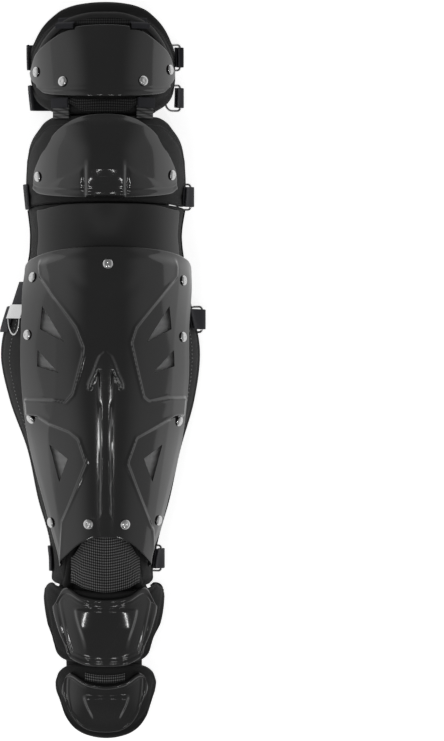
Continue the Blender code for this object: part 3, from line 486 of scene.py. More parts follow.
def pillow(middle: Array, half: Array, normals: Array, inner: Optional[Array] = None) -> Surface:
    """Closed pad round a middle grid, whose two faces share their border.

    The upper face stands half above the middle and the lower one half below, along the normals,
    and half is 0 on the border. inner gives the finish of each face of the lower side.
    """
    top = sheet_of(middle + half[..., None] * normals)
    low = sheet_of(middle - half[..., None] * normals).turned_over()
    if inner is not None:
        low.finish = inner.reshape(-1)
    rows, cols = half.shape
    border = np.zeros((rows, cols), bool)
    border[[0, -1], :] = True
    border[:, [0, -1]] = True
    border = border.reshape(-1)
    number = np.where(border, np.arange(rows * cols), 0)
    number[~border] = rows * cols + np.arange((~border).sum())
    return Surface(
        np.concatenate([top.places, low.places[~border]]),
        np.concatenate([top.faces, number[low.faces]]),
        np.concatenate([top.cloth, low.cloth]),
        np.concatenate([top.finish, low.finish]),
    )


def spread(length: float, rim: float, step: float) -> Array:
    """Shares from 0 to 1 along a length, close together where the rim rounds.

    The close ones stand at rim * (1 - cos angle) from each end, for even angles up to 90 degrees.
    """
    close = rim * (1 - np.cos(np.linspace(0, math.pi / 2, 6)))
    count = max(2, int(round((length - 2 * rim) / step)) + 1)
    even = np.linspace(rim, length - rim, count)
    return np.concatenate([close[:-1], even, (length - close[:-1])[::-1]]) / length


def grid_normals(points: Array) -> Array:
    """Directions square to a grid, from the cross product of its slopes across and along."""
    return unit(np.cross(np.gradient(points, axis=1), np.gradient(points, axis=0)))


def rounded(distance: Array, rim: float) -> Array:
    """Share of a rounded rim: the height of a quarter circle at that distance from its edge."""
    t = np.clip(distance / rim, 0.0, 1.0)
    return np.sqrt(np.maximum(1 - (1 - t) ** 2, 0.0))


@dataclass
class Patch:
    """Pad or plate on the arch.

    Its upper face stands lift off the arch, plus relief(x, y, across, up). Its wall is wall *
    depth(across, up) thick, and its rim is rounded over the length rim. bound is how wide the
    bound border on its underside is, inside which the underside takes the second finish.
    """

    outline: Outline
    lift: float
    wall: float
    rim: float
    step: float
    relief: Optional[Relief] = None
    depth: Optional[Share] = None
    bound: float = 0.0
    roll: float = 0.0
    groove: float = 0.0

    def surface(self) -> Surface:
        """The closed surface of the patch, with its sewn groove beside the border where it has one."""
        rough_a, rough_u = np.meshgrid(np.linspace(-1, 1, 25), np.linspace(0, 1, 25))
        rough = ARCH.point(*self.outline.place(rough_a, rough_u))
        wide, long = lengths(rough, 1)[:, -1].max(), lengths(rough, 0)[-1].max()
        across, up = np.meshgrid(
            2 * spread(wide, self.rim, self.step) - 1, spread(long, self.rim, self.step))
        x, y = self.outline.place(across, up)
        base = ARCH.point(x, y)
        run_a, run_u = lengths(base, 1), lengths(base, 0)
        side = np.minimum(run_a, run_a[:, -1:] - run_a)
        end = np.minimum(run_u, run_u[-1:] - run_u)
        shape = rounded(side, self.rim) * rounded(end, self.rim)
        inside = np.minimum(side, end)
        wall = self.wall * (self.depth(across, up) if self.depth else np.ones_like(x))
        top = self.lift + (self.relief(x, y, across, up) if self.relief else np.zeros_like(x))
        if self.roll:
            top = top - self.groove * np.exp(-(((inside - self.roll) / (0.35 * self.roll)) ** 2))
            wall = wall - 2 * self.groove * np.exp(-(((inside - self.roll) / (0.35 * self.roll)) ** 2))
        normals = ARCH.normal(x, y)
        middle = base + (top - wall / 2)[..., None] * normals
        inner = (inside[:-1, :-1] > self.bound).astype(int) if self.bound else None
        return pillow(middle, wall / 2 * shape, normals, inner)


def sweep(path: Array, up: Array, profile: Array, closed: bool = False) -> Surface:
    """Profile carried along a path.

    At each place the profile's first measure goes sideways, along the cross product of the path's
    direction and up, and its second one along up. An open path's ends close in on their middles.
    """
    ahead = np.roll(path, -1, 0) - np.roll(path, 1, 0) if closed else np.gradient(path, axis=0)
    ahead = unit(ahead)
    side = unit(np.cross(ahead, np.broadcast_to(up, path.shape)))
    upright = np.cross(side, ahead)
    profile = np.broadcast_to(profile, (len(path),) + profile.shape[-2:])
    points = (
        path[:, None] + profile[..., :1] * side[:, None] + profile[..., 1:] * upright[:, None])
    if not closed:
        ends = [points[i] * 0.45 + points[i].mean(0) * 0.55 for i in (0, -1)]
        tips = [np.repeat(points[i].mean(0)[None], points.shape[1], 0) for i in (0, -1)]
        points = np.concatenate([tips[0][None], ends[0][None], points, ends[1][None], tips[1][None]])
    return sheet_of(points, (closed, True)).turned_over()


def circle(radius: float, sides: int) -> Array:
    """Round profile."""
    turn = np.arange(sides) / sides * 2 * math.pi
    return radius * np.stack([np.cos(turn), np.sin(turn)], axis=-1)


def resampled(line: Array, step: float) -> Array:
    """Smooth line through rows of places (rows, ..., 3), with even steps along its first column.

    Between two places it is the cubic that meets both, with the slope of the chord between the
    neighbours at each one.
    """
    rows = np.asarray(line, float)
    first = rows.reshape(len(rows), -1, 3)[:, 0]
    run = np.concatenate([[0.0], np.cumsum(np.linalg.norm(np.diff(first, axis=0), axis=1))])
    at = np.linspace(0, run[-1], max(3, int(round(run[-1] / step)) + 1))
    slopes = np.gradient(rows, run, axis=0)
    i = np.clip(np.searchsorted(run, at, "right") - 1, 0, len(run) - 2)
    gap = run[i + 1] - run[i]
    shape = (-1,) + (1,) * (rows.ndim - 1)
    t, gap = ((at - run[i]) / gap).reshape(shape), gap.reshape(shape)
    return cubic(t, rows[i], rows[i + 1], slopes[i] * gap, slopes[i + 1] * gap)


def ribbon(line: Array, wall: float, step: float = 0.0012, rim: float = 0.0009) -> Surface:
    """Webbing of even thickness round rows of places across its width, with rounded selvedges."""
    along = resampled(line, step)
    width = np.linalg.norm(along[0, -1] - along[0, 0])
    share = spread(width, rim, 0.0016)
    keys = np.linspace(0, 1, along.shape[1])
    i = np.clip(np.searchsorted(keys, share, "right") - 1, 0, len(keys) - 2)
    t = ((share - keys[i]) / (keys[i + 1] - keys[i]))[None, :, None]
    points = along[:, i] * (1 - t) + along[:, i + 1] * t
    side = np.minimum(share, 1 - share) * width
    end = lengths(points, 0)
    end = np.minimum(end, end[-1:] - end)
    half = wall / 2 * rounded(side, rim)[None] * rounded(end, rim / 2)
    return pillow(points, half, grid_normals(points))


def stitches(path: Array, up: Array, long: float, gap: float, thread: float) -> Surface:
    """Row of thread dashes along a path, each a six-sided bar with closed ends."""
    path = np.asarray(path, float)
    up = np.broadcast_to(np.asarray(up, float), path.shape)
    run = lengths(path[None], 1)[0]
    count = max(1, int(run[-1] / (long + gap)))
    start = (np.arange(count) + 0.5) * run[-1] / count - long / 2
    share = np.array([0.0, 0.12, 0.88, 1.0])
    size = np.array([0.0, 1.0, 1.0, 0.0])
    at = start[:, None] + share * long
    centre = np.stack([np.interp(at, run, path[:, k]) for k in range(3)], axis=-1)
    over = unit(np.stack([np.interp(at, run, up[:, k]) for k in range(3)], axis=-1))
    ahead = unit(centre[:, -1] - centre[:, 0])[:, None]
    side = unit(np.cross(np.broadcast_to(ahead, over.shape), over))
    ring = circle(thread / 2, 6)
    points = (
        centre[:, :, None]
        + size[None, :, None, None] * (ring[:, :1] * side[:, :, None] + ring[:, 1:] * over[:, :, None]))
    faces, corners = grid_faces(len(share), len(ring), (False, True))
    block = len(share) * len(ring)
    all_faces = (faces[None] + block * np.arange(count)[:, None, None]).reshape(-1, 4)[:, ::-1]
    uv = np.tile(corners[..., ::-1] * thread, (count, 1, 1))
    return Surface(points.reshape(-1, 3), all_faces, uv, np.zeros(len(all_faces), int))


def turned(profile: Array, sides: int = 24) -> Surface:
    """Profile of (radius, height) turned round the upright axis, from its top to its foot."""
    turn = np.arange(sides) / sides * 2 * math.pi
    round_ = np.stack([np.cos(turn), np.sin(turn), np.zeros(sides)], axis=-1)
    points = profile[:, None, :1] * round_ + profile[:, None, 1:] * UP
    return sheet_of(points, (False, True)).turned_over()


def stood(surface: Surface, foot: Array, lean: Array) -> Surface:
    """The surface with its upright axis turned to a direction and its origin put at a place."""
    up = unit(np.asarray(lean, float))
    side = unit(np.cross(ALONG, up))
    frame = np.stack([side, np.cross(up, side), up])
    return Surface(surface.places @ frame + foot, surface.faces, surface.cloth, surface.finish)


class Bench:
    """Where each piece is made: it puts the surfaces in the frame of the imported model."""

    def __init__(self, shift: Array) -> None:
        """Keeps the shift from the arch's own lengths to the frame."""
        self.shift = shift

    def piece(self, name: str, surface: Surface, finishes: Sequence["Finish"],
              stands_for: Sequence[str] = ()) -> bpy.types.Object:
        """Makes a mesh piece that rides on the guard.

        Args:
            name: name of the piece.
            surface: its mesh arrays, in the arch's own lengths.
            finishes: its finishes, by the numbers in the surface.
            stands_for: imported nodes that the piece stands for.

        Returns:
            The new object.
        """
        mesh = bpy.data.meshes.new(name)
        mesh.from_pydata((surface.places + self.shift).tolist(), [], surface.faces.tolist())
        layer = mesh.uv_layers.new(name="Cloth")
        layer.data.foreach_set("uv", surface.cloth.reshape(-1).astype(np.float32))
        mesh.polygons.foreach_set("material_index", surface.finish.astype(np.int32))
        for finish in finishes:
            mesh.materials.append(finish.material())
        shape = bmesh.new()
        shape.from_mesh(mesh)
        bmesh.ops.remove_doubles(shape, verts=shape.verts, dist=1e-7)
        shape.to_mesh(mesh)
        shape.free()
        mesh.polygons.foreach_set("use_smooth", np.ones(len(mesh.polygons), bool))
        made = bpy.data.objects.new(name, mesh)
        bpy.context.scene.collection.objects.link(made)
        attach(made, BODY)
        if stands_for:
            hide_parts(*stands_for)
        LOG.info("%s: %d faces", name, len(mesh.polygons))
        return made


def sharpened(made: bpy.types.Object, degrees: float = 38.0) -> None:
    """Keeps edges that turn by more than the angle sharp, on an otherwise smooth piece."""
    made.data.set_sharp_from_angle(angle=math.radians(degrees))


def cut_through(made: bpy.types.Object, corners: Sequence[Array], low: float, high: float) -> None:
    """Cuts upright openings with the given corners in plan through a piece."""
    shape = bmesh.new()
    for outline in corners:
        face = shape.faces.new([shape.verts.new((x, y, low)) for x, y in outline])
        moved = bmesh.ops.extrude_face_region(shape, geom=[face])["geom"]
        tops = [item for item in moved if isinstance(item, bmesh.types.BMVert)]
        bmesh.ops.translate(shape, vec=(0, 0, high - low), verts=tops)
    bmesh.ops.recalc_face_normals(shape, faces=shape.faces)
    mesh = bpy.data.meshes.new("opening")
    shape.to_mesh(mesh)
    shape.free()
    cutter = bpy.data.objects.new("opening", mesh)
    bpy.context.scene.collection.objects.link(cutter)
    cut = made.modifiers.new("openings", "BOOLEAN")
    cut.operation = "DIFFERENCE"
    cut.solver = "EXACT"
    cut.object = cutter
    bpy.context.view_layer.update()
    graph = bpy.context.evaluated_depsgraph_get()
    result = bpy.data.meshes.new_from_object(made.evaluated_get(graph), depsgraph=graph)
    made.modifiers.clear()
    made.data = result
    bpy.data.objects.remove(cutter)


class Nodes:
    """Short way to add and join the nodes of one tree."""

    def __init__(self, tree: bpy.types.NodeTree) -> None:
        """Works on the given tree."""
        self.tree = tree

    def add(self, kind: str, inputs: dict, out: object = 0, **settings: object) -> bpy.types.NodeSocket:
        """Adds a node.

        Args:
            kind: name of the node's class, without ShaderNode.
            inputs: a value or a socket for each input, by its name or number.
            out: the output that is returned, by its name or number.
            settings: the node's own choices.

        Returns:
            One output socket of the node.
        """
        made = self.tree.nodes.new("ShaderNode" + kind)
        for key, value in settings.items():
            setattr(made, key, value)
        self.join(made, inputs)
        return made.outputs[out]

    def join(self, node: bpy.types.Node, inputs: dict) -> None:
        """Gives each input of a node its value, or joins it to its socket."""
        for key, value in inputs.items():
            if isinstance(value, bpy.types.NodeSocket):
                self.tree.links.new(value, node.inputs[key])
            else:
                node.inputs[key].default_value = value

    def maths(self, operation: str, first: object, second: object = 0.0) -> bpy.types.NodeSocket:
        """One operation on one or two numbers."""
        return self.add("Math", {0: first, 1: second}, operation=operation)

    def ramp(self, value: object, low: float, high: float, to_low: float = 0.0, to_high: float = 1.0,
             **settings: object) -> bpy.types.NodeSocket:
        """Number between low and high carried to a number between to_low and to_high."""
        return self.add("MapRange", {"Value": value, "From Min": low, "From Max": high,
                                     "To Min": to_low, "To Max": to_high}, **settings)

    def blend(self, share: object, first: object, second: object) -> bpy.types.NodeSocket:
        """Colour that goes from first to second with the share."""
        made = self.tree.nodes.new("ShaderNodeMix")
        made.data_type = "RGBA"
        self.join(made, {0: share, 6: first, 7: second})
        return made.outputs[2]


def grey(value: float) -> tuple[float, float, float, float]:
    """Grey of a given strength."""
    return (value, value, value, 1.0)


class Group(Enum):
    """Effects that several materials share."""

    SCUFF = "scuff"
    WOVEN = "woven"
    HOLED = "holed"


def group_tree(kind: Group) -> bpy.types.NodeTree:
    """The node group of an effect, made the first time it is asked for."""
    if kind.value in bpy.data.node_groups:
        return bpy.data.node_groups[kind.value]
    tree = bpy.data.node_groups.new(kind.value, "ShaderNodeTree")
    sockets = tree.interface

    def socket(name: str, way: str, form: str, value: object = None) -> None:
        """Adds one named input or output."""
        made = sockets.new_socket(name, in_out=way, socket_type="NodeSocket" + form)
        if value is not None:
            made.default_value = value

    socket("Place", "INPUT", "Vector")
    socket("Dark", "INPUT", "Color", grey(0.01))
    socket("Light", "INPUT", "Color", grey(0.05))
    socket("Across", "INPUT", "Float", 0.0016)
    socket("Along", "INPUT", "Float", 0.0016)
    socket("Colour", "OUTPUT", "Color")
    socket("Mask", "OUTPUT", "Float")
    socket("Height", "OUTPUT", "Float")
    ends = tree.nodes.new("NodeGroupInput"), tree.nodes.new("NodeGroupOutput")
    made = Nodes(tree)
    place, dark, light, across, along = (ends[0].outputs[i] for i in range(5))
    xyz = tree.nodes.new("ShaderNodeSeparateXYZ")
    tree.links.new(place, xyz.inputs[0])
    turn_u = made.maths("MULTIPLY", made.maths("DIVIDE", xyz.outputs[0], across), 2 * math.pi)
    turn_v = made.maths("MULTIPLY", made.maths("DIVIDE", xyz.outputs[1], along), 2 * math.pi)
    if kind is Group.SCUFF:
        # Long thin scratches in two directions, over a slow cloud of wear
        stretched = made.add("Mapping", {"Vector": place, "Scale": (900.0, 60.0, 300.0),
                                         "Rotation": (0.0, 0.0, 0.5)})
        crossed = made.add("Mapping", {"Vector": place, "Scale": (50.0, 800.0, 260.0),
                                       "Rotation": (0.0, 0.0, 0.3)})
        lines = made.maths(
            "MAXIMUM",
            made.ramp(made.add("TexNoise", {"Vector": stretched, "Scale": 1.0, "Detail": 2.0}), 0.66, 0.74),
            made.ramp(made.add("TexNoise", {"Vector": crossed, "Scale": 1.0, "Detail": 2.0}), 0.67, 0.75))
        cloud = made.add("TexNoise", {"Vector": place, "Scale": 22.0, "Detail": 4.0})
        mask = made.maths("MULTIPLY", lines, made.ramp(cloud, 0.42, 0.70))
        peel = made.add("TexNoise", {"Vector": place, "Scale": 260.0, "Detail": 1.0})
        height = made.maths("SUBTRACT", made.maths("MULTIPLY", peel, 0.5), mask)
        shade = made.maths("MAXIMUM", mask, made.ramp(cloud, 0.45, 0.8, 0.0, 0.25))
    elif kind is Group.WOVEN:
        # Ribs across the cloth, broken into short floats by a second wave along it. Its colour is painted
        # lighter on the raised threads and darker in the grooves between them, a painted highlight and shade
        # that follow the weave's height, over a cloud of tone that differs at random
        ribs = made.maths("ABSOLUTE", made.maths("SINE", made.maths("MULTIPLY", turn_v, 0.5)))
        shifted = made.maths("ADD", turn_u, made.maths("MULTIPLY", turn_v, 0.5))
        floats = made.maths("ABSOLUTE", made.maths("SINE", made.maths("MULTIPLY", shifted, 0.5)))
        fuzz = made.add("TexNoise", {"Vector": place, "Scale": 900.0, "Detail": 3.0})
        height = made.maths("ADD", made.maths("MULTIPLY", ribs, floats), made.maths("MULTIPLY", fuzz, 0.35))
        cloud = made.add("TexNoise", {"Vector": place, "Scale": 35.0, "Detail": 5.0, "Roughness": 0.6})
        mask = made.ramp(cloud, 0.3, 0.75)
        # Painted light and shade: lighter on the thread tops and darker in the grooves, by the weave's
        # height, times the random cloud of tone
        shade = made.maths("MULTIPLY", made.ramp(height, 0.2, 1.1), made.ramp(mask, 0.0, 1.0, 0.55, 1.0))
    else:
        # Diamond rows of open holes between thick threads
        first = made.maths("SINE", made.maths("ADD", turn_u, turn_v))
        second = made.maths("SINE", made.maths("SUBTRACT", turn_u, turn_v))
        lattice = made.maths("MULTIPLY", first, second)
        mask = made.ramp(lattice, -0.15, 0.45)
        fuzz = made.add("TexNoise", {"Vector": place, "Scale": 700.0, "Detail": 3.0})
        cloud = made.add("TexNoise", {"Vector": place, "Scale": 30.0, "Detail": 4.0})
        height = made.maths("ADD", mask, made.maths("MULTIPLY", fuzz, 0.25))
        shade = made.maths("MULTIPLY", mask, made.ramp(cloud, 0.25, 0.75, 0.6, 1.0))
    tree.links.new(made.blend(shade, dark, light), ends[1].inputs[0])
    tree.links.new(mask, ends[1].inputs[1])
    tree.links.new(height, ends[1].inputs[2])
    return tree


@dataclass(frozen=True)
class Finish:
    """One finish: its two colours, the effect that mixes them, and how its surface shines.

    rough is the roughness where the effect's mask is 0 and at 1. bump is the depth of the relief
    in metres, and across and along are the sizes of its pattern.
    """

    name: str
    effect: Group
    dark: float
    light: float
    rough: tuple[float, float]
    bump: float
    across: float = 0.0016
    along: float = 0.0016
    metal: float = 0.0
    sheen: float = 0.0
    specular: float = 0.5

    def material(self) -> bpy.types.Material:
        """The material, which is made the first time it is asked for."""
        if self.name in bpy.data.materials:
            return bpy.data.materials[self.name]
        made = bpy.data.materials.new(self.name)
        made.use_nodes = True
        nodes = Nodes(made.node_tree)
        shader = made.node_tree.nodes["Principled BSDF"]
        if self.effect is Group.SCUFF:
            place = nodes.add("TexCoord", {}, "Object")
        else:
            place = nodes.add("UVMap", {}, 0, uv_map="Cloth")
        effect = made.node_tree.nodes.new("ShaderNodeGroup")
        effect.node_tree = group_tree(self.effect)
        nodes.join(effect, {"Place": place, "Dark": grey(self.dark), "Light": grey(self.light),
                            "Across": self.across, "Along": self.along})
        rough = nodes.ramp(effect.outputs["Mask"], 0.0, 1.0, *self.rough)
        relief = nodes.add("Bump", {"Height": effect.outputs["Height"], "Distance": self.bump,
                                    "Strength": 1.0})
        nodes.join(shader, {"Base Color": effect.outputs["Colour"], "Roughness": rough, "Normal": relief,
                            "Metallic": self.metal, "Sheen Weight": self.sheen, "Sheen Roughness": 0.45,
                            "Specular IOR Level": self.specular})
        return made


SHELL = Finish("gloss_shell", Group.SCUFF, 0.0085, 0.020, (0.10, 0.30), 0.00001, specular=0.60)
SATIN = Finish("satin_band", Group.SCUFF, 0.0065, 0.014, (0.42, 0.55), 0.00002, specular=0.35)
FABRIC = Finish("pad_cover", Group.WOVEN, 0.006, 0.032, (0.72, 0.85), 0.00016, 0.0011, 0.0011, sheen=0.04,
                specular=0.16)
SMOOTH = Finish("binding", Group.WOVEN, 0.007, 0.018, (0.50, 0.65), 0.00006, 0.0008, 0.0008, sheen=0.05,
                specular=0.30)
MESH = Finish("pad_mesh", Group.HOLED, 0.004, 0.050, (0.75, 0.90), 0.00035, 0.0046, 0.0058, sheen=0.02,
              specular=0.16)
NET = Finish("ankle_net", Group.HOLED, 0.004, 0.19, (0.70, 0.85), 0.0004, 0.0044, 0.0056, specular=0.2)
VENT = Finish("vent_mesh", Group.HOLED, 0.11, 0.60, (0.75, 0.90), 0.0003, 0.0024, 0.0024, specular=0.2)
WEB = Finish("webbing", Group.WOVEN, 0.004, 0.016, (0.62, 0.80), 0.00018, 0.0024, 0.0016, sheen=0.04,
             specular=0.20)
# The elastic's light grey sits on its rib tops through the weave's height, a painted highlight along each rib
# over near-black cloth
ELASTIC = Finish("elastic", Group.WOVEN, 0.005, 0.15, (0.55, 0.75), 0.0003, 0.0200, 0.0032, sheen=0.04,
                 specular=0.25)
SUEDE = Finish("suede", Group.WOVEN, 0.060, 0.125, (0.62, 0.80), 0.00008, 0.0009, 0.0007, specular=0.2)
THREAD = Finish("thread", Group.WOVEN, 0.012, 0.050, (0.5, 0.7), 0.00003, 0.0004, 0.0004)
PALE_THREAD = Finish("pale_thread", Group.WOVEN, 0.18, 0.40, (0.5, 0.7), 0.00003, 0.0004, 0.0004)
STEEL = Finish("plated_steel", Group.SCUFF, 0.50, 0.30, (0.18, 0.40), 0.00001, metal=1.0)


def padded_border(across: Array, up: Array) -> Array:
    """Share of a pad's wall: full in its border, and two thirds of it inside."""
    inside = np.minimum(1 - abs(across), np.minimum(up, 1 - up) * 1.4)
    return 1 - 0.35 * smooth_step(inside, 0.10, 0.22)


def low_lip(up: Array) -> Array:
    """Raised roll along a plate's low edge, with a finer one inside it."""
    roll = smooth_step(up, 0.0, 0.03) * (1 - smooth_step(up, 0.06, 0.12))
    bead = smooth_step(up, 0.10, 0.13) * (1 - smooth_step(up, 0.13, 0.17))
    return LIP_RISE * roll + 0.35 * LIP_RISE * bead


def rolled_lip(across: Array, up: Array) -> Array:
    """Raised border of a plate, as a share of its rise, with a finer bead inside it."""
    inside = np.minimum(1 - abs(across), np.minimum(up, 1 - up) * 1.6)
    roll = smooth_step(inside, 0.0, 0.05) * (1 - smooth_step(inside, 0.08, 0.16))
    bead = smooth_step(inside, 0.15, 0.18) * (1 - smooth_step(inside, 0.19, 0.23))
    return roll + 0.4 * bead


def along_line(outline: Outline, rows: Sequence[tuple[float, float]], lift: float,
               step: float = 0.002) -> tuple[Array, Array]:
    """Line over the arch through shares (across, up) of an outline.

    Returns:
        The places on the line, and the direction away from the arch at each of them.
    """
    across, up = np.array(rows, float).T
    many = np.linspace(0, 1, 40 * len(rows))
    key = np.linspace(0, 1, len(rows))
    across = Curve(tuple(zip(key, across)))(many)
    up = Curve(tuple(zip(key, up)))(many)
    x, y = outline.place(across, up)
    line = ARCH.point(x, y, lift)
    run = lengths(line[None], 1)[0]
    at = np.linspace(0, run[-1], max(3, int(run[-1] / step)))
    x, y = np.interp(at, run, x), np.interp(at, run, y)
    return ARCH.point(x, y, lift), ARCH.normal(x, y)


def beaded(outline: Outline, rows: Sequence[tuple[float, float]], lift: float, wide: float,
           high: float) -> Surface:
    """Flattened round cord over the arch, through shares of an outline."""
    path, up = along_line(outline, rows, lift)
    return sweep(path, up, circle(1.0, 10) * np.array([wide / 2, high / 2]))


def sewn(outline: Outline, inset: float, lift: float) -> Surface:
    """Row of stitches a share inside the sides and the high edge of an outline."""
    side, top = 1 - inset, 1 - 1.3 * inset
    rows = [(-side, 0.08), (-side, 0.4), (-side, 0.8), (-0.93 * side, top), (-0.5, top), (0.0, top),
            (0.5, top), (0.93 * side, top), (side, 0.8), (side, 0.4), (side, 0.08)]
    path, up = along_line(outline, rows, lift)
    return stitches(path, up, 0.0022, 0.0012, 0.0005)


def on_arch(x: Array, y: Array, lift: float, rim: float = 0.0006, wall: float = 0.0006) -> Surface:
    """Thin closed sheet over a grid of places in plan."""
    base = ARCH.point(x, y, lift)
    side, end = lengths(base, 1), lengths(base, 0)
    side = np.minimum(side, side[:, -1:] - side)
    end = np.minimum(end, end[-1:] - end)
    return pillow(base, wall / 2 * rounded(side, rim) * rounded(end, rim), ARCH.normal(x, y))


def level(stretch: Stretch, low: float, high: float, left: float, right: float) -> Outline:
    """Outline with straight edges, from its two shares along the stretch and its two half widths."""
    return Outline(stretch, ((0.0, low), (1.0, low)), ((0.0, high), (1.0, high)),
                   ((0.0, left, right), (1.0, left, right)))


def lining(outline: Outline, inside: float, gap: float = 0.0004, wall: float = 0.0009,
           rim: float = 0.0005) -> Surface:
    """Thin cloth a gap behind a pad, whose inner face is so far inside the arch."""
    return Patch(outline, -(inside + gap), wall, rim, 0.0020).surface()


def outside_of(x: Array, y: Array, corners: Sequence[tuple[float, float]]) -> Array:
    """Distance in plan to the border of a flat outline, and less than 0 inside it.

    It is the least distance to any edge, and a place is inside where a line from it towards +X
    meets an odd number of edges.
    """
    nearest = np.full(np.shape(x), np.inf)
    inside = np.zeros(np.shape(x), bool)
    for (x0, y0), (x1, y1) in zip(corners, list(corners[1:]) + [corners[0]]):
        wide, tall = x1 - x0, y1 - y0
        along = np.clip(((x - x0) * wide + (y - y0) * tall) / (wide**2 + tall**2), 0.0, 1.0)
        nearest = np.minimum(nearest, np.hypot(x - x0 - along * wide, y - y0 - along * tall))
        if tall:
            meets = ((y0 > y) != (y1 > y)) & (x < x0 + (y - y0) * wide / tall)
            inside ^= meets
    return np.where(inside, -nearest, nearest)


def plan_grid(x: tuple[float, float], y: tuple[float, float], step: float) -> tuple[Array, Array]:
    """Grid of places in plan between two x and two y."""
    wide, long = x[1] - x[0], y[1] - y[0]
    return np.meshgrid(x[0] + wide * spread(wide, step, step), y[0] + long * spread(long, step, step))


@dataclass(frozen=True)
class Rivet:
    """Domed rivet on a plate: its node, its place in shares of a stretch, and if it goes through."""

    node: str
    stretch: Stretch
    across: float
    along: float
    through: bool = False

    def surface(self, relief: Relief) -> Surface:
        """The head with a rolled edge and a dimple, its shank, and its washer where it goes through."""
        x, y = self.stretch.x(self.across), self.stretch.y(self.along)
        cap, shank = RIVET_CAP / 2, RIVET_SHANK

        def face(dx: float, dy: float) -> Array:
            """Place on the plate's face near the rivet."""
            at = np.array([x + dx]), np.array([y + dy])
            rise = relief(*at, np.array([0.5]), np.array([0.5]))
            return ARCH.point(*at, PLATE_FACE + RIVET_STAND + rise)[0]

        lean = np.cross(face(cap, 0) - face(-cap, 0), face(0, cap) - face(0, -cap))
        depth = PLATE_WALL + GAP
        tail = [(shank, -depth), (0.0, -depth)]
        if self.through:
            rise = float(relief(np.array([x]), np.array([y]), np.array([0.5]), np.array([0.5]))[0])
            depth = PLATE_FACE + RIVET_STAND + rise + LINER_WALL + GAP
            tail = [(shank, -depth), (0.92 * cap, -depth), (cap, -depth - 0.0003),
                    (0.9 * cap, -depth - 0.0010), (0.45 * cap, -depth - 0.0010),
                    (0.40 * cap, -depth - 0.0014), (0.0, -depth - 0.0014)]
        profile = np.array([
            (0.0, 0.82), (0.16 * cap, 0.84), (0.26 * cap, 0.96), (0.42 * cap, 1.0), (0.62 * cap, 0.92),
            (0.80 * cap, 0.72), (0.93 * cap, 0.42), (cap, 0.16), (0.985 * cap, 0.0)])
        head = profile * np.array([1.0, RIVET_RISE])
        return stood(turned(np.concatenate([head, [(shank, 0.0)], tail])), face(0, 0), lean)


RIVETS = tuple(Rivet(*row) for row in (
    ("thigh_rivet_1", THIGH, -0.868, 0.372), ("thigh_rivet_2", THIGH, -0.533, 0.279),
    ("thigh_rivet_3", THIGH, 0.460, 0.283), ("thigh_rivet_4", THIGH, 0.790, 0.390),
    ("knee_rivet_left", KNEE, -0.800, 0.585), ("knee_rivet_right", KNEE, 0.780, 0.595),
    ("shin_rivet_top", SHIN, 0.020, 1.000),
    ("shin_rivet_left_1", SHIN, -0.670, 0.955), ("shin_rivet_right_1", SHIN, 0.700, 0.949),
    ("shin_rivet_left_2", SHIN, -0.750, 0.776, True), ("shin_rivet_right_2", SHIN, 0.730, 0.769, True),
    ("shin_rivet_left_3", SHIN, -0.715, 0.510, True), ("shin_rivet_right_3", SHIN, 0.690, 0.503, True),
    ("shin_rivet_left_4", SHIN, -0.510, 0.179, True), ("shin_rivet_right_4", SHIN, 0.480, 0.186, True),
    ("shin_rivet_low_left", SHIN, -0.150, 0.176), ("shin_rivet_low_right", SHIN, 0.165, 0.175),
))


def set_rivets(bench: Bench, family: str, relief: Relief) -> None:
    """Makes the rivets whose nodes begin with the family's name."""
    for rivet in RIVETS:
        if rivet.node.startswith(family):
            bench.piece(rivet.node + "_head", rivet.surface(relief), [STEEL], [rivet.node])


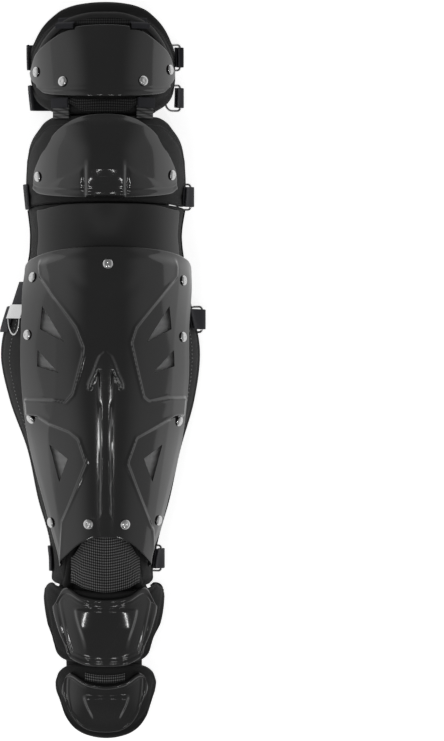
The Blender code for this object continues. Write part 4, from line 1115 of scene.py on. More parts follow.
@dataclass
class ThighFlap:
    """Pad over the thigh, with its plate, loops, knit strip and elastic links."""

    wall: float = 0.010
    link_width: float = 0.016
    loop_width: float = 0.0165

    def relief(self, x: Array, y: Array, across: Array, up: Array) -> Array:
        """Rolled low edge of the plate."""
        return low_lip(up)

    def build(self, bench: Bench) -> None:
        """Makes and dresses the thigh flap."""
        pad = Patch(THIGH_PAD, 0.0, self.wall, 0.0045, 0.0016, depth=padded_border, bound=0.0135,
                    roll=0.0100, groove=0.0015)
        bench.piece("thigh_pad_cover", pad.surface(), [FABRIC, MESH], ["thigh_pad"])
        roll = beaded(THIGH_PAD, [(-0.80, 0.42), (-0.70, 0.66), (-0.5, 0.80), (-0.2, 0.865), (0.0, 0.872),
                                  (0.2, 0.865), (0.5, 0.80), (0.70, 0.66), (0.80, 0.42)], 0.0, 0.0085, 0.0056)
        bench.piece("thigh_roll", roll, [SMOOTH])
        x, y = plan_grid((-0.030, 0.025), (THIGH.y(0.785), THIGH.y(0.862)), 0.0012)
        bench.piece("thigh_knit_top", on_arch(x, y, 0.0005, wall=0.002), [MESH])
        strip = Outline(THIGH, ((0.0, 0.002), (0.75, 0.012), (1.0, 0.05)), ((0.0, 0.12), (1.0, 0.135)),
                        ((0.0, 0.40, 0.36), (0.5, 0.47, 0.43), (1.0, 0.47, 0.43)))
        knit = Patch(strip, 0.0024, 0.0044, 0.002, 0.0012)
        bench.piece("thigh_knit_low", knit.surface(), [MESH])
        bench.piece("thigh_stitching", sewn(THIGH_PAD, 0.10, 0.0001), [THREAD])
        plate = Patch(THIGH_PLATE, PLATE_FACE, PLATE_WALL, PLATE_RIM, 0.0014, relief=self.relief)
        bench.piece("thigh_plate_shell", plate.surface(), [SHELL], ["thigh_plate"])
        set_rivets(bench, "thigh", self.relief)
        for name, middle in (("plate_loop_left", -0.51), ("plate_loop_right", 0.42)):
            stand = GAP + PLATE_WALL + GAP + TAB_WALL / 2
            levels = ((0.735, stand + LIP_RISE), (0.770, stand + 0.0004 + LIP_RISE), (0.800, GAP + TAB_WALL),
                      (0.845, GAP + TAB_WALL / 2))
            across = THIGH.x(middle) + np.linspace(-0.5, 0.5, 5) * self.loop_width
            line = np.stack([ARCH.point(across, THIGH.y(share), lift) for share, lift in levels])
            bench.piece(name + "_web", ribbon(line, TAB_WALL), [WEB], [name])
        for name, middle in (("link_strap_left", -0.575), ("link_strap_right", 0.500)):
            across = THIGH.x(middle) + np.linspace(-0.5, 0.5, 5) * self.link_width
            ys = [KNEE.y(0.960), KNEE.y(0.985), THIGH.y(0.0), THIGH.y(0.06), THIGH.y(0.125)]
            line = np.stack([ARCH.point(across, y, GAP + WEBBING_WALL / 2) for y in ys])
            bench.piece(name + "_web", ribbon(line, WEBBING_WALL), [ELASTIC], [name])
            top = [THIGH.y(0.045), THIGH.y(0.085), THIGH.y(0.14)]
            line = np.stack([ARCH.point(across, y, 2 * GAP + 1.5 * WEBBING_WALL) for y in top])
            bench.piece(name + "_cover", ribbon(line, WEBBING_WALL), [WEB])
        between = level(THIGH, -0.07, 0.11, 0.77, 0.70)
        bench.piece("thigh_lining", lining(between, self.wall), [FABRIC])


@dataclass
class Knee:
    """Pad round the knee, its domed shell with a raised cap, and the pleated bowl inside."""

    petals: int = 8

    def relief(self, x: Array, y: Array, across: Array, up: Array) -> Array:
        """Rolled low edge, and the raised cap over the middle of the knee."""
        low, high = KNEE.y(0.46), KNEE.y(0.66)
        sides = 1 - smooth_step(abs(x), KNEE.x(0.20), KNEE.x(0.245))
        length = smooth_step(y, low, low + 0.004) * (1 - smooth_step(y, high - 0.004, high + 0.006))
        flank = smooth_step(abs(x), KNEE.x(0.2), KNEE.x(0.3))
        flank = flank * (1 - smooth_step(abs(x), KNEE.x(0.5), KNEE.x(0.75)))
        fall = y - (high - 0.55 * (abs(x) - KNEE.x(0.2)))
        wing = 0.0012 * flank * (1 - smooth_step(fall, -0.002, 0.003)) * smooth_step(y, low, low + 0.01)
        return low_lip(up) + CAP_RISE * sides * length + wing

    def pleats(self, across: Array, up: Array) -> Array:
        """Share of the bowl's wall, whose petals stand up between narrow pleats."""
        turn = np.arctan2(2 * up - 1, across)
        reach = np.hypot(across, 2 * up - 1)
        petals = 0.5 + 0.5 * np.cos(self.petals * turn)
        button = 1 - smooth_step(reach, 0.28, 0.36)
        return 1 - 0.35 * (1 - petals) ** 2 * smooth_step(reach, 0.25, 0.6) - 0.10 * button

    def build(self, bench: Bench) -> None:
        """Makes and dresses the knee."""
        pad = Patch(KNEE_PAD, 0.0, KNEE_PAD_WALL, 0.004, 0.0018, bound=0.0125, roll=0.0115, groove=0.0010)
        bench.piece("knee_pad_cover", pad.surface(), [FABRIC, MESH], ["knee_pad"])
        bench.piece("knee_stitching", sewn(KNEE_PAD, 0.085, 0.0001), [THREAD])
        seam = level(KNEE, 0.27, 0.40, 0.82, 0.86)
        bench.piece("knee_lining", lining(seam, KNEE_PAD_WALL), [FABRIC])
        cup = Patch(KNEE_CUP, -(KNEE_PAD_WALL + SEAT + SEAM), 0.006, 0.0025, 0.0018, depth=self.pleats)
        bench.piece("knee_bowl", cup.surface(), [SMOOTH], ["knee_cup"])
        shell = Patch(KNEE_SHELL, PLATE_FACE, PLATE_WALL, PLATE_RIM, 0.00115, relief=self.relief)
        bench.piece("knee_dome", shell.surface(), [SHELL], ["knee_shell"])
        set_rivets(bench, "knee", self.relief)


@dataclass
class Band:
    """Soft band under the knee, and the bare curved plate on it."""

    wall: float = 0.007

    def build(self, bench: Bench) -> None:
        """Makes and dresses the band."""
        pad = Patch(BAND_PAD, 0.0, self.wall, 0.003, 0.0018, bound=0.010)
        bench.piece("band_pad_cover", pad.surface(), [FABRIC, MESH], ["band_pad"])
        for side, name in SIDES:
            piping = beaded(BAND_PAD, [(side * 0.955, 0.04), (side * 0.955, 0.5), (side * 0.955, 0.96)],
                            0.0004, 0.0018, 0.0016)
            bench.piece("band_piping_" + name, piping, [SMOOTH])
        under = lining(level(KNEE, -0.05, 0.06, 0.80, 0.79), LINER_WALL, gap=0.0003, wall=0.0006, rim=0.0003)
        bench.piece("band_lining", under, [FABRIC])
        plate = Patch(BAND_PLATE, SEAT + BAND_WALL, BAND_WALL, 0.0012, 0.0016)
        bench.piece("band_plate_shell", plate.surface(), [SATIN], ["band_plate"])


@dataclass
class Shin:
    """Vented shin plate on its padded liner, the cushion inside, and the net over the ankle."""

    vents: tuple = (
        ((0.635, 0.869), (0.656, 0.795), (0.410, 0.753)),
        ((0.680, 0.728), (0.685, 0.676), (0.470, 0.655)),
        ((0.564, 0.426), (0.380, 0.381), (0.465, 0.306)),
    )
    pockets: tuple = (
        ((-0.63, 1.10), (-0.61, 0.955), (-0.29, 0.795), (-0.225, 0.737), (-0.23, 0.712), (-0.324, 0.593),
         (-0.38, 0.571), (-0.49, 0.577), (-1.30, 0.583), (-1.30, 1.10)),
        ((-1.30, 0.535), (-0.65, 0.514), (-0.54, 0.492), (-0.35, 0.465), (-0.27, 0.442), (-0.20, 0.369),
         (-0.416, 0.183), (-0.44, -0.05), (-1.30, -0.05)),
        ((0.66, 1.10), (0.65, 0.958), (0.30, 0.795), (0.26, 0.75), (0.37, 0.583), (0.40, 0.574),
         (0.57, 0.585), (1.30, 0.585), (1.30, 1.10)),
        ((1.30, 0.535), (0.64, 0.514), (0.30, 0.446), (0.22, 0.369), (0.44, 0.157), (0.45, -0.05),
         (1.30, -0.05)),
    )
    hook_x: tuple[float, float] = (-0.0970, -0.0830)
    hook_y: tuple[float, float, float] = (0.420, 0.434, 0.457)
    hook_lean: float = 0.32
    hook_reach: float = 0.016
    arrow: Curve = Curve((
        (0.20, 0.035), (0.60, 0.055), (0.605, 0.145), (0.66, 0.100), (0.71, 0.045), (0.725, 0.001)))
    crease_left: Curve = Curve((
        (0.05, 0.40), (0.18, 0.44), (0.31, 0.50), (0.44, 0.54), (0.49, 0.53), (0.53, 0.48), (0.95, 0.48),
        (1.00, 0.51)))
    crease_right: Curve = Curve((
        (0.05, 0.38), (0.18, 0.44), (0.31, 0.50), (0.44, 0.56), (0.53, 0.60), (0.75, 0.64), (1.00, 0.66)))

    def relief(self, x: Array, y: Array, across: Array, up: Array) -> Array:
        """Raised middle panel between the pockets, the arrow on it, and a crease along each flank."""
        share = SHIN.share(y)
        off = np.minimum.reduce([
            outside_of(x, y, [(SHIN.x(a), SHIN.y(b)) for a, b in corners]) for corners in self.pockets])
        on_panel = smooth_step(off, 0.0, 0.0034)
        bead = 0.14 * np.exp(-(((off - 0.0036) / 0.0012) ** 2))
        half = SHIN.x(self.arrow(share))
        on_arrow = 1 - smooth_step(abs(x), half, half + 0.0022)
        on_arrow = on_arrow * smooth_step(share, 0.195, 0.21) * (1 - smooth_step(share, 0.72, 0.73))
        stem, tip = SHIN.x(0.050), SHIN.x(0.140)
        barb = np.interp(abs(x), [stem, tip], [0.672, 0.607])
        on_arrow = on_arrow * (1 - smooth_step(abs(x), stem, stem + 0.0016) * (1 - smooth_step(
            share, barb - 0.006, barb + 0.002)))
        border = smooth_step(1 - abs(across), 0.02, 0.10) * smooth_step(1 - up, 0.01, 0.05)
        over_band = smooth_step(share, 0.76, 0.965) * (BAND_WALL + 2 * GAP)
        flank = SHIN.x(np.where(x < 0, self.crease_left(share), self.crease_right(share)))
        crease = 0.0011 * np.exp(-abs(abs(x) - flank) / 0.009)
        chevron = SHIN.y(0.885) + 0.62 * abs(x - 0.003)
        valley = -0.0004 * np.exp(-(((y - chevron) / 0.0075) ** 2)) * (1 - smooth_step(abs(x), 0.024, 0.038))
        return over_band + border * (PANEL_RISE * (on_panel + bead) + ARROW_RISE * on_arrow + crease + valley)

    def cushion(self, across: Array, up: Array) -> Array:
        """Share of the cushion's wall, with the long groove down its middle."""
        groove = (1 - smooth_step(abs(across), 0.08, 0.16)) * smooth_step(up, 0.12, 0.18)
        groove = groove * (1 - smooth_step(up, 0.76, 0.82))
        return 1 - 0.55 * groove

    def build(self, bench: Bench) -> None:
        """Makes and dresses the shin."""
        liner = Patch(SHIN_LINER, 0.0, LINER_WALL, 0.0048, 0.0023, depth=padded_border, bound=0.0125,
                      roll=0.0115, groove=0.0011)
        bench.piece("shin_liner_cover", liner.surface(), [FABRIC, MESH], ["shin_liner"])
        bench.piece("shin_stitching", sewn(SHIN_LINER, 0.075, 0.0001), [THREAD])
        cushion = Patch(SHIN_CUSHION, -(LINER_WALL + SEAT), 0.009, 0.0045, 0.0020, depth=self.cushion,
                        roll=0.009, groove=0.0008)
        bench.piece("shin_cushion_cover", cushion.surface(), [MESH], ["shin_cushion"])
        net = Patch(ANKLE, 0.0, 0.004, 0.0018, 0.0014)
        bench.piece("ankle_net", net.surface(), [NET], ["ankle_panel"])
        face = Outline(SHIN, ANKLE.low, ANKLE.high, ((0.0, 0.345, 0.335), (1.0, 0.345, 0.335)))
        facing = Patch(face, 0.0008, 0.0007, 0.0003, 0.0014)
        bench.piece("ankle_facing", facing.surface(), [NET])
        behind = Outline(SHIN, ((0.0, -0.080), (1.0, -0.060)), ((0.0, 0.13), (0.7, 0.11), (1.0, 0.03)),
                         ((0.0, 0.60, 0.52), (1.0, 0.54, 0.47)))
        bench.piece("ankle_lining", lining(behind, LINER_WALL), [FABRIC])
        for side, name in SIDES:
            edge = [(side * 0.625, 0.36), (side * 0.61, 0.5), (side * 0.60, 0.7), (side * 0.60, 0.86),
                    (side * 0.62, 0.955)]
            piping = beaded(SHIN_LINER, edge, 0.0002, 0.0024, 0.0022)
            bench.piece("shin_piping_" + name, piping, [SMOOTH])
            rows = [(side * 0.75, 0.30), (side * 0.75, 0.5), (side * 0.75, 0.7), (side * 0.74, 0.86),
                    (side * 0.70, 0.95)]
            path, up = along_line(SHIN_LINER, rows, 0.0001)
            dots = stitches(path, up, 0.0016, 0.0022, 0.0009)
            bench.piece("wing_stitching_" + name, dots, [PALE_THREAD])
        plate = Patch(SHIN_PLATE, PLATE_FACE, PLATE_WALL, PLATE_RIM, 0.00136, relief=self.relief)
        made = bench.piece("shin_plate_shell", plate.surface(), [SHELL], ["shin_plate"])
        openings = [
            np.array([(side * SHIN.x(a), SHIN.y(b)) for a, b in corners]) + bench.shift[:2]
            for side in (-1, 1) for corners in self.vents]
        cut_through(made, openings, 0.0, 0.2)
        sharpened(made)
        for side, name in SIDES:
            for number, corners in enumerate(self.vents, 1):
                places = np.array(corners)
                x = np.sort(side * SHIN.x(places[:, 0]))
                y = np.sort(SHIN.y(places[:, 1]))
                grid = plan_grid((x[0] - 0.003, x[-1] + 0.003), (y[0] - 0.003, y[-1] + 0.003), 0.001)
                bench.piece(f"vent_mesh_{name}_{number}", on_arch(*grid, 0.0005), [VENT])
        set_rivets(bench, "shin", self.relief)
        self.side_hook(bench)

    def side_hook(self, bench: Bench) -> None:
        """Webbing end on the left wing, with its folded steel plate and the wire of its hook."""
        left, right = self.hook_x
        foot, fold, head = self.hook_y
        x, y = plan_grid((left, right), (fold - 0.004, head), 0.0012)
        web = on_arch(x + self.hook_lean * (y - foot), y, 0.0014, wall=0.0022)
        bench.piece("side_hook_web", web, [WEB])
        x, y = plan_grid((left, right), (foot, fold), 0.0007)
        bulge = 0.0010 * np.sin(np.pi * (x - left) / (right - left))
        metal = on_arch(x + self.hook_lean * (y - foot), y, 0.0032 + bulge, wall=0.0013)
        bench.piece("side_hook_plate", metal, [STEEL])
        turn = np.linspace(np.pi, 2 * np.pi, 25)
        x = (left + right) / 2 + 0.40 * (right - left) * np.cos(turn)
        y = foot + 0.0005 + self.hook_reach * np.sin(turn)
        wire = sweep(ARCH.point(x, y, 0.0026), ARCH.normal(x, y), circle(0.0009, 10))
        bench.piece("side_hook_wire", wire, [STEEL])


@dataclass(frozen=True)
class ToePanel:
    """Raised panel of a toe plate: its half widths below and above, and where it begins and ends."""

    stretch: Stretch
    narrow: float
    wide: float
    low: float
    high: float

    def relief(self, x: Array, y: Array, across: Array, up: Array) -> Array:
        """Rolled lip round the plate, and the raised panel in its middle."""
        share = self.stretch.share(y)
        grown = smooth_step(share, self.low, self.high)
        half = self.stretch.x(self.narrow + (self.wide - self.narrow) * grown)
        sides = 1 - smooth_step(abs(x), half, half + self.stretch.x(0.07))
        length = smooth_step(share, self.low - 0.04, self.low + 0.30)
        length = length * (1 - smooth_step(share, self.high - 0.03, self.high))
        return LIP_RISE * rolled_lip(across, up) + TOE_PANEL_RISE * sides * length


@dataclass
class ToeFlap:
    """Two small pads over the instep and toe, their plates, the suede tab and the webbing tails."""

    upper: ToePanel = ToePanel(UPPER_TOE, 0.28, 0.42, 0.16, 0.66)
    lower: ToePanel = ToePanel(LOWER_TOE, 0.20, 0.36, 0.22, 0.60)
    tab_wall: float = 0.0025
    tail_width: float = 0.016

    def build(self, bench: Bench) -> None:
        """Makes and dresses the toe flap."""
        for name, pad_outline, plate_outline, panel in (
            ("upper_toe", UPPER_TOE_PAD, UPPER_TOE_PLATE, self.upper),
            ("lower_toe", LOWER_TOE_PAD, LOWER_TOE_PLATE, self.lower),
        ):
            pad = Patch(pad_outline, 0.0, TOE_PAD_WALL, 0.0036, 0.0015, bound=0.009, roll=0.0085,
                        groove=0.0007)
            bench.piece(name + "_cover", pad.surface(), [FABRIC, MESH], [name + "_pad"])
            plate = Patch(plate_outline, PLATE_FACE, PLATE_WALL, PLATE_RIM, 0.0011, relief=panel.relief)
            bench.piece(name + "_shell", plate.surface(), [SHELL], [name + "_plate"])
        waist = lining(level(UPPER_TOE, -0.13, 0.15, 0.74, 0.66), TOE_PAD_WALL, gap=0.0003)
        bench.piece("toe_lining", waist, [FABRIC])
        x, y = plan_grid((-0.021, 0.019), (LOWER_TOE.y(0.755), LOWER_TOE.y(0.855)), 0.0012)
        y = y + 6.0 * x**2
        bench.piece("toe_mesh_strip", on_arch(x, y, 0.0005, wall=0.0014), [NET])
        inside = -(TOE_PAD_WALL + SEAM + WEBBING_WALL / 2 + GAP)
        for name, middle in (("toe_tail_left", -0.54), ("toe_tail_right", 0.50)):
            across = UPPER_TOE.x(middle) + np.linspace(-0.5, 0.5, 5) * self.tail_width
            line = np.stack([ARCH.point(across, UPPER_TOE.y(share), inside)
                             for share in (0.24, 0.41, 0.58, 0.75)])
            bench.piece(name + "_web", ribbon(line, WEBBING_WALL), [WEB], [name])
        stand = -(TOE_PAD_WALL + SEAM + self.tab_wall / 2)
        across = UPPER_TOE.x(0.37) * np.linspace(-1, 1, 9)
        ys = [LOWER_TOE.y(share) for share in (0.86, 0.94)]
        ys += [UPPER_TOE.y(share) for share in (0.06, 0.25, 0.48, 0.70)]
        line = np.stack([ARCH.point(across, y, stand) for y in ys])
        bench.piece("toe_tab_suede", ribbon(line, self.tab_wall, rim=0.0012), [SUEDE], ["toe_tab"])
        under = -(TOE_PAD_WALL + SEAM + self.tab_wall + 0.0001)
        rows = []
        for inset in (0.003, 0.0055):
            side = UPPER_TOE.x(0.37) - inset
            corners = np.array([(-side, ys[0] + inset), (side, ys[0] + inset), (side, ys[-1] - inset),
                                (-side, ys[-1] - inset), (-side, ys[0] + inset)])
            at = np.linspace(0, 4, 81)
            x, y = np.interp(at, np.arange(5), corners[:, 0]), np.interp(at, np.arange(5), corners[:, 1])
            rows.append(stitches(ARCH.point(x, y, under), ARCH.normal(x, y), 0.0022, 0.0010, 0.0005))
        bench.piece("toe_tab_stitching", joined(rows), [PALE_THREAD])


def arc(x: float, z: float, wide: float, high: float,
        degrees: Sequence[float]) -> list[tuple[float, float]]:
    """Places (x, z) on an oval round a middle, at angles from +X towards +Z."""
    turns = [math.radians(angle) for angle in degrees]
    return [(x + wide * math.cos(turn), z + high * math.sin(turn)) for turn in turns]


def level_rows(y: Array, places: Sequence[tuple[float, float]]) -> list[Array]:
    """Rows of places at the given y, one for each (x, z)."""
    return [np.stack([np.full(len(y), x), y, np.full(len(y), z)], axis=-1) for x, z in places]


@dataclass
class Strap:
    """Webbing strap across the back, sewn on the left, with its clip, ring and ring tab."""

    name: str
    stretch: Stretch
    along: float
    degrees: float
    middle: float = field(init=False)
    outside: float = field(init=False)

    def __post_init__(self) -> None:
        """Works out where the strap's middle is, and the guard's half width there."""
        self.middle = self.stretch.y(self.along)
        edge = np.array([self.middle - STRAP_WIDTH / 2, self.middle + STRAP_WIDTH / 2])
        self.outside = float(ARCH.half(1, edge).max())

    @property
    def ring_far(self) -> tuple[float, float]:
        """x and z of the ring's outer side."""
        return self.outside + GAP + TAB_WALL + 2 * GAP + RING_WIRE / 2, self.ring_near[1] + RING_FALL

    @property
    def ring_near(self) -> tuple[float, float]:
        """x and z of the ring's side in the clip's hook."""
        far = self.outside + GAP + TAB_WALL + 2 * GAP + RING_WIRE / 2
        near = far - math.sqrt(RING_REACH**2 - RING_FALL**2)
        return near, RING_WIRE / 2 + 2 * CLIP_CLEAR + CLIP_WALL + GAP

    @property
    def bar(self) -> tuple[float, float]:
        """x and z of the clip's bar in the strap's fold."""
        return self.ring_near[0] - CLIP_REACH, WEBBING_WALL + CLIP_WALL / 2 + CLIP_CLEAR

    def line(self) -> Array:
        """Rows of places across the strap, from its sewn end round to the end of its fold."""
        y = self.middle + np.linspace(-0.5, 0.5, 3) * STRAP_WIDTH
        half, rim = ARCH.half(-1, y), ARCH.rim(y)
        floor, gap = WEBBING_WALL / 2, CLIP_WALL / 2 + CLIP_CLEAR
        stand = 2 * GAP + floor
        rows = [ARCH.wall(-1, self.degrees + share * (LEAVES - self.degrees), y, stand)
                for share in (0.0, 0.5, 1.0)]
        turn_x = -half + 0.010
        reach = half + stand + turn_x
        for degrees in (0, 25, 50, 72, 90):
            angle = math.radians(degrees)
            rows.append(np.stack([turn_x - reach * math.cos(angle), y,
                                  floor + (rim - floor) * (1 - math.sin(angle))], axis=-1))
        bar_x, bar_z = self.bar
        fold = gap + floor
        nose = bar_x + CLIP_BAR / 2
        flat = [(-0.5 * half.mean(), floor), (0.0, floor), (0.3 * half.mean(), floor), (nose, floor)]
        flat += arc(nose, bar_z, fold * 0.8, fold, (-45, 0, 45, 90))
        rest = floor + WEBBING_WALL + GAP
        flat += [(bar_x - CLIP_BAR / 2, bar_z + fold), (bar_x - CLIP_BAR / 2 - 0.004, rest),
                 (bar_x - CLIP_BAR / 2 - FOLD_LENGTH, rest)]
        rows += level_rows(y, flat)
        return np.stack(rows)

    def clip(self) -> Surface:
        """Forked clip: two arms beside the webbing, a back with a rivet, and a hook round the ring."""
        bar_x, bar_z = self.bar
        near_x, near_z = self.ring_near
        half = STRAP_WIDTH / 2 + CLIP_SIDE / 2 + 0.0004
        back = bar_x + CLIP_BAR / 2 + CLIP_SLOT + 0.0012
        turn = np.radians(np.linspace(0, 90, 6))
        corner = 0.004
        one = np.stack([back - corner + corner * np.sin(turn), half - corner + corner * np.cos(turn)],
                       axis=-1)
        path = np.concatenate([[(bar_x - 0.010, half)], one, (one * (1, -1))[::-1], [(bar_x - 0.010, -half)]])
        path = np.concatenate([path, np.full((len(path), 1), bar_z)], axis=1)
        path[:, 1] += self.middle
        fork = sweep(resampled(path, 0.0012), UP, circle(1.0, 12) * np.array([0.0011, CLIP_WALL / 2]))
        hook = RING_WIRE / 2 + CLIP_CLEAR + CLIP_WALL / 2
        top = near_z + hook
        rows = [(back - 0.0012, bar_z, 0.012), (back + 0.001, bar_z + 0.0004, 0.011),
                (back + 0.0035, 0.5 * (bar_z + top), 0.0065), (near_x - 0.0015, top, CLIP_PRONG / 2)]
        rows += [(near_x + hook * math.sin(math.radians(d)), near_z + hook * math.cos(math.radians(d)),
                  CLIP_PRONG / 2) for d in (20, 60, 100, 140, 180, 215)]
        across = np.linspace(-1, 1, 7)
        grid = np.stack([np.stack([np.full(7, x), self.middle + across * wide, np.full(7, z)], axis=-1)
                         for x, z, wide in rows])
        tongue = ribbon(grid, CLIP_WALL, 0.0008, 0.0006)
        bar = sweep(np.array([(bar_x, self.middle + y, bar_z) for y in np.linspace(-half, half, 9)]),
                    UP, circle(1.0, 10) * np.array([CLIP_BAR / 2, CLIP_WALL / 2 * 0.9]))
        dome = np.array([(0.0, 0.0013), (0.0012, 0.0012), (0.0024, 0.0008), (0.0029, 0.0002),
                         (0.0029, -0.0004), (0.0, -0.0004)])
        boss = stood(turned(dome, 16), np.array([back + 0.0012, self.middle, bar_z + CLIP_WALL / 2]), UP)
        return joined([fork, tongue, bar, boss])

    def ring(self) -> Surface:
        """Round wire bent to a D, sloping up to its straight side in the ring tab."""
        near, far = np.array(self.ring_near), np.array(self.ring_far)
        reach = float(np.linalg.norm(far - near))
        half = (RING_INSIDE + RING_WIRE) / 2
        turn = np.radians(np.linspace(0, 90, 7))
        parts = []
        for cx, cy, start, corner in (
            (reach, half, 0, 0.0035), (0.0, half, 90, 0.0085),
            (0.0, -half, 180, 0.0085), (reach, -half, 270, 0.0035),
        ):
            middle = np.array([cx - math.copysign(corner, cx - 1e-6), cy - math.copysign(corner, cy)])
            angle = turn + math.radians(start)
            parts.append(middle + corner * np.stack([np.cos(angle), np.sin(angle)], axis=-1))
        flat = np.concatenate(parts)
        ahead = np.array([(far - near)[0], 0.0, (far - near)[1]]) / reach
        start = np.array([near[0], self.middle, near[1]])
        path = start + flat[:, :1] * ahead + flat[:, 1:] * ALONG
        return sweep(path, np.cross(ahead, ALONG), circle(RING_WIRE / 2, 12), closed=True)

    def tab(self) -> Array:
        """Rows of places across the ring tab, which folds round the ring's outer side."""
        y = self.middle + np.linspace(-0.5, 0.5, 3) * TAB_WIDTH
        inner, outer = GAP + TAB_WALL / 2, 2 * GAP + 1.5 * TAB_WALL
        rows = [ARCH.wall(1, self.degrees + degrees, y, inner) for degrees in (0, 5)]
        far_x, high = self.ring_far
        leg = far_x - RING_WIRE / 2 - 2 * GAP - TAB_WALL / 2
        far_leg = far_x + RING_WIRE / 2 + 2 * GAP + TAB_WALL / 2
        turn = (far_leg - leg) / 2
        flat = [(leg, high + 0.004)]
        flat += arc(far_x, high, turn, turn, (180, 225, 270, 315, 360))
        flat += [(far_leg, high + 0.003)]
        rows += level_rows(y, flat)
        rows += [ARCH.wall(1, self.degrees + degrees, y, outer + GAP) for degrees in (4, 1)]
        return np.stack(rows[::-1])

    def seams(self) -> Surface:
        """Box of stitches with crossed rows, where the strap is sewn on."""
        parts = []
        y = self.middle
        inset = STRAP_WIDTH / 2 - 0.003
        lift = 2 * GAP + WEBBING_WALL + 0.0001
        for first, last in (((-1, 0.08), (1, 0.08)), ((-1, 0.85), (1, 0.85)),
                            ((-1, 0.08), (1, 0.85)), ((1, 0.08), (-1, 0.85))):
            share = np.linspace(0, 1, 12)
            place = y + inset * (first[0] + share * (last[0] - first[0]))
            angle = self.degrees + (first[1] + share * (last[1] - first[1])) * (LEAVES - self.degrees)
            x = -ARCH.half(-1, place) * np.sin(np.radians(angle))
            parts.append(stitches(ARCH.point(x, place, lift), ARCH.normal(x, place), 0.0022, 0.0010, 0.0006))
        return joined(parts)

    def build(self, bench: Bench) -> None:
        """Makes and dresses the strap with its clip, ring and ring tab."""
        bench.piece(self.name + "_strap_web", ribbon(self.line(), WEBBING_WALL), [WEB],
                    [self.name + "_strap"])
        bench.piece(self.name + "_clip_fork", self.clip(), [STEEL], [self.name + "_clip"])
        bench.piece(self.name + "_ring_wire", self.ring(), [STEEL], [self.name + "_ring"])
        bench.piece(self.name + "_tab_web", ribbon(self.tab(), TAB_WALL), [WEB],
                    [self.name + "_ring_tab"])
        bench.piece(self.name + "_seams", self.seams(), [THREAD])


STRAPS = (
    ("thigh_upper", THIGH, 0.510, 79), ("thigh_lower", THIGH, 0.150, 75), ("knee", KNEE, 0.455, 72),
    ("calf", SHIN, 0.827, 67), ("ankle", SHIN, 0.060, 74),
)


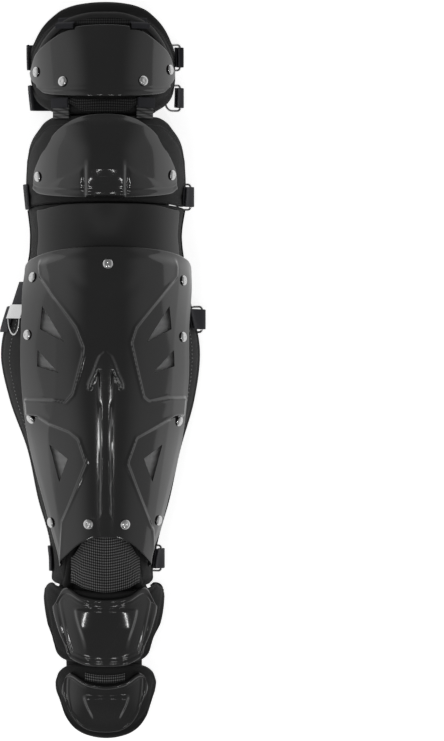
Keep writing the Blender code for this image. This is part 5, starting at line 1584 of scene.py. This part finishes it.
@dataclass
class Studio:
    """Pale floor, soft lights and the camera straight above the guard."""

    distance: float = 12.0
    view_height: float = 0.741
    sensor: float = 36.0
    camera_x: float = 0.1198
    camera_y: float = 0.0
    camera_base: float = 0.05

    def floor(self) -> None:
        """Large pale floor that can be seen from above only."""
        size = 30.0
        corners = [(-size, -size, 0), (size, -size, 0), (size, size, 0), (-size, size, 0)]
        mesh = bpy.data.meshes.new("floor")
        mesh.from_pydata(corners, [], [(0, 1, 2, 3)])
        made = bpy.data.objects.new("floor", mesh)
        bpy.context.scene.collection.objects.link(made)
        finish = bpy.data.materials.new("floor")
        finish.use_nodes = True
        nodes = Nodes(finish.node_tree)
        shader = finish.node_tree.nodes["Principled BSDF"]
        nodes.join(shader, {"Base Color": grey(0.80), "Roughness": 0.9, "Specular IOR Level": 0.1,
                            "Emission Color": grey(1.0), "Emission Strength": 0.76})
        clear = nodes.add("BsdfTransparent", {})
        back = nodes.add("NewGeometry", {}, "Backfacing")
        mixed = nodes.add("MixShader", {0: back, 1: shader.outputs[0], 2: clear})
        finish.node_tree.links.new(mixed, finish.node_tree.nodes["Material Output"].inputs[0])
        mesh.materials.append(finish)

    def light(self, name: str, place: Sequence[float], target: Sequence[float], size: Sequence[float],
              power: float) -> None:
        """Adds one rectangular soft light."""
        data = bpy.data.lights.new(name, "AREA")
        data.shape = "RECTANGLE"
        data.size, data.size_y = size
        data.energy = power
        made = bpy.data.objects.new(name, data)
        made.location = place
        made.rotation_euler = (Vector(target) - Vector(place)).to_track_quat("-Z", "Y").to_euler()
        bpy.context.scene.collection.objects.link(made)

    def glow(self, nodes: Nodes) -> bpy.types.NodeSocket:
        """Strength of the sky that the guard reflects: even above, and brighter low down at the left."""
        toward = nodes.add("SeparateXYZ", {0: nodes.add("TexCoord", {}, "Generated")}, "X")
        away = nodes.maths("MULTIPLY", toward, -1.0)
        low_left = nodes.ramp(away, 0.40, 0.88, 0.0, 0.62, interpolation_type="SMOOTHSTEP")
        low_right = nodes.ramp(toward, 0.45, 0.92, 0.0, 0.34, interpolation_type="SMOOTHSTEP")
        return nodes.maths("ADD", nodes.maths("ADD", low_left, low_right), 0.27)

    def build(self) -> None:
        """Sets up the floor, the lights, the sky and the camera."""
        self.floor()
        world = bpy.data.worlds.new("studio")
        world.use_nodes = True
        nodes = Nodes(world.node_tree)
        around = nodes.add("Background", {"Color": grey(1.0), "Strength": self.glow(nodes)})
        behind = nodes.add("Background", {"Color": grey(1.0), "Strength": 1.0})
        seen = nodes.add("LightPath", {}, "Is Camera Ray")
        mixed = nodes.add("MixShader", {0: seen, 1: around, 2: behind})
        world.node_tree.links.new(mixed, world.node_tree.nodes["World Output"].inputs[0])
        bpy.context.scene.world = world
        for side, name in SIDES:
            self.light("stem_strip_" + name, (side * 0.43, -0.58, 2.2), (0.0, -0.05, 0.1), (0.045, 0.46), 2.0)
            self.light("cap_strip_" + name, (side * 1.15, -1.35, 1.9), (0.0, 0.18, 0.1), (0.05, 0.50), 2.6)
        data = bpy.data.cameras.new("camera")
        data.sensor_width = self.sensor
        data.lens = self.sensor * self.distance / self.view_height
        data.clip_end = 60.0
        camera = bpy.data.objects.new("camera", data)
        camera.location = (self.camera_x, self.camera_y, self.camera_base + self.distance)
        bpy.context.scene.collection.objects.link(camera)
        bpy.context.scene.camera = camera
        bpy.context.scene.view_settings.view_transform = "Standard"


def frame_shift(strap: Strap) -> Array:
    """Shift from the arch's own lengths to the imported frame, found from a ring's middle."""
    low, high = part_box(strap.name + "_ring")
    centre = (np.array(low) + np.array(high)) / 2
    own = np.array([(strap.ring_near[0] + strap.ring_far[0]) / 2, strap.middle,
                    (strap.ring_near[1] + strap.ring_far[1]) / 2])
    return (centre - own) * np.array([1.0, 1.0, 0.0])


def main() -> None:
    """Loads the frame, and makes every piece."""
    logging.basicConfig(level=logging.INFO, format="%(message)s")
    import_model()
    straps = [Strap(*row) for row in STRAPS]
    bench = Bench(frame_shift(straps[3]))
    LOG.info("shift: %s", bench.shift)
    ThighFlap().build(bench)
    Knee().build(bench)
    Band().build(bench)
    Shin().build(bench)
    ToeFlap().build(bench)
    for strap in straps:
        strap.build(bench)
    Studio().build()


if __name__ == "__main__":
    main()
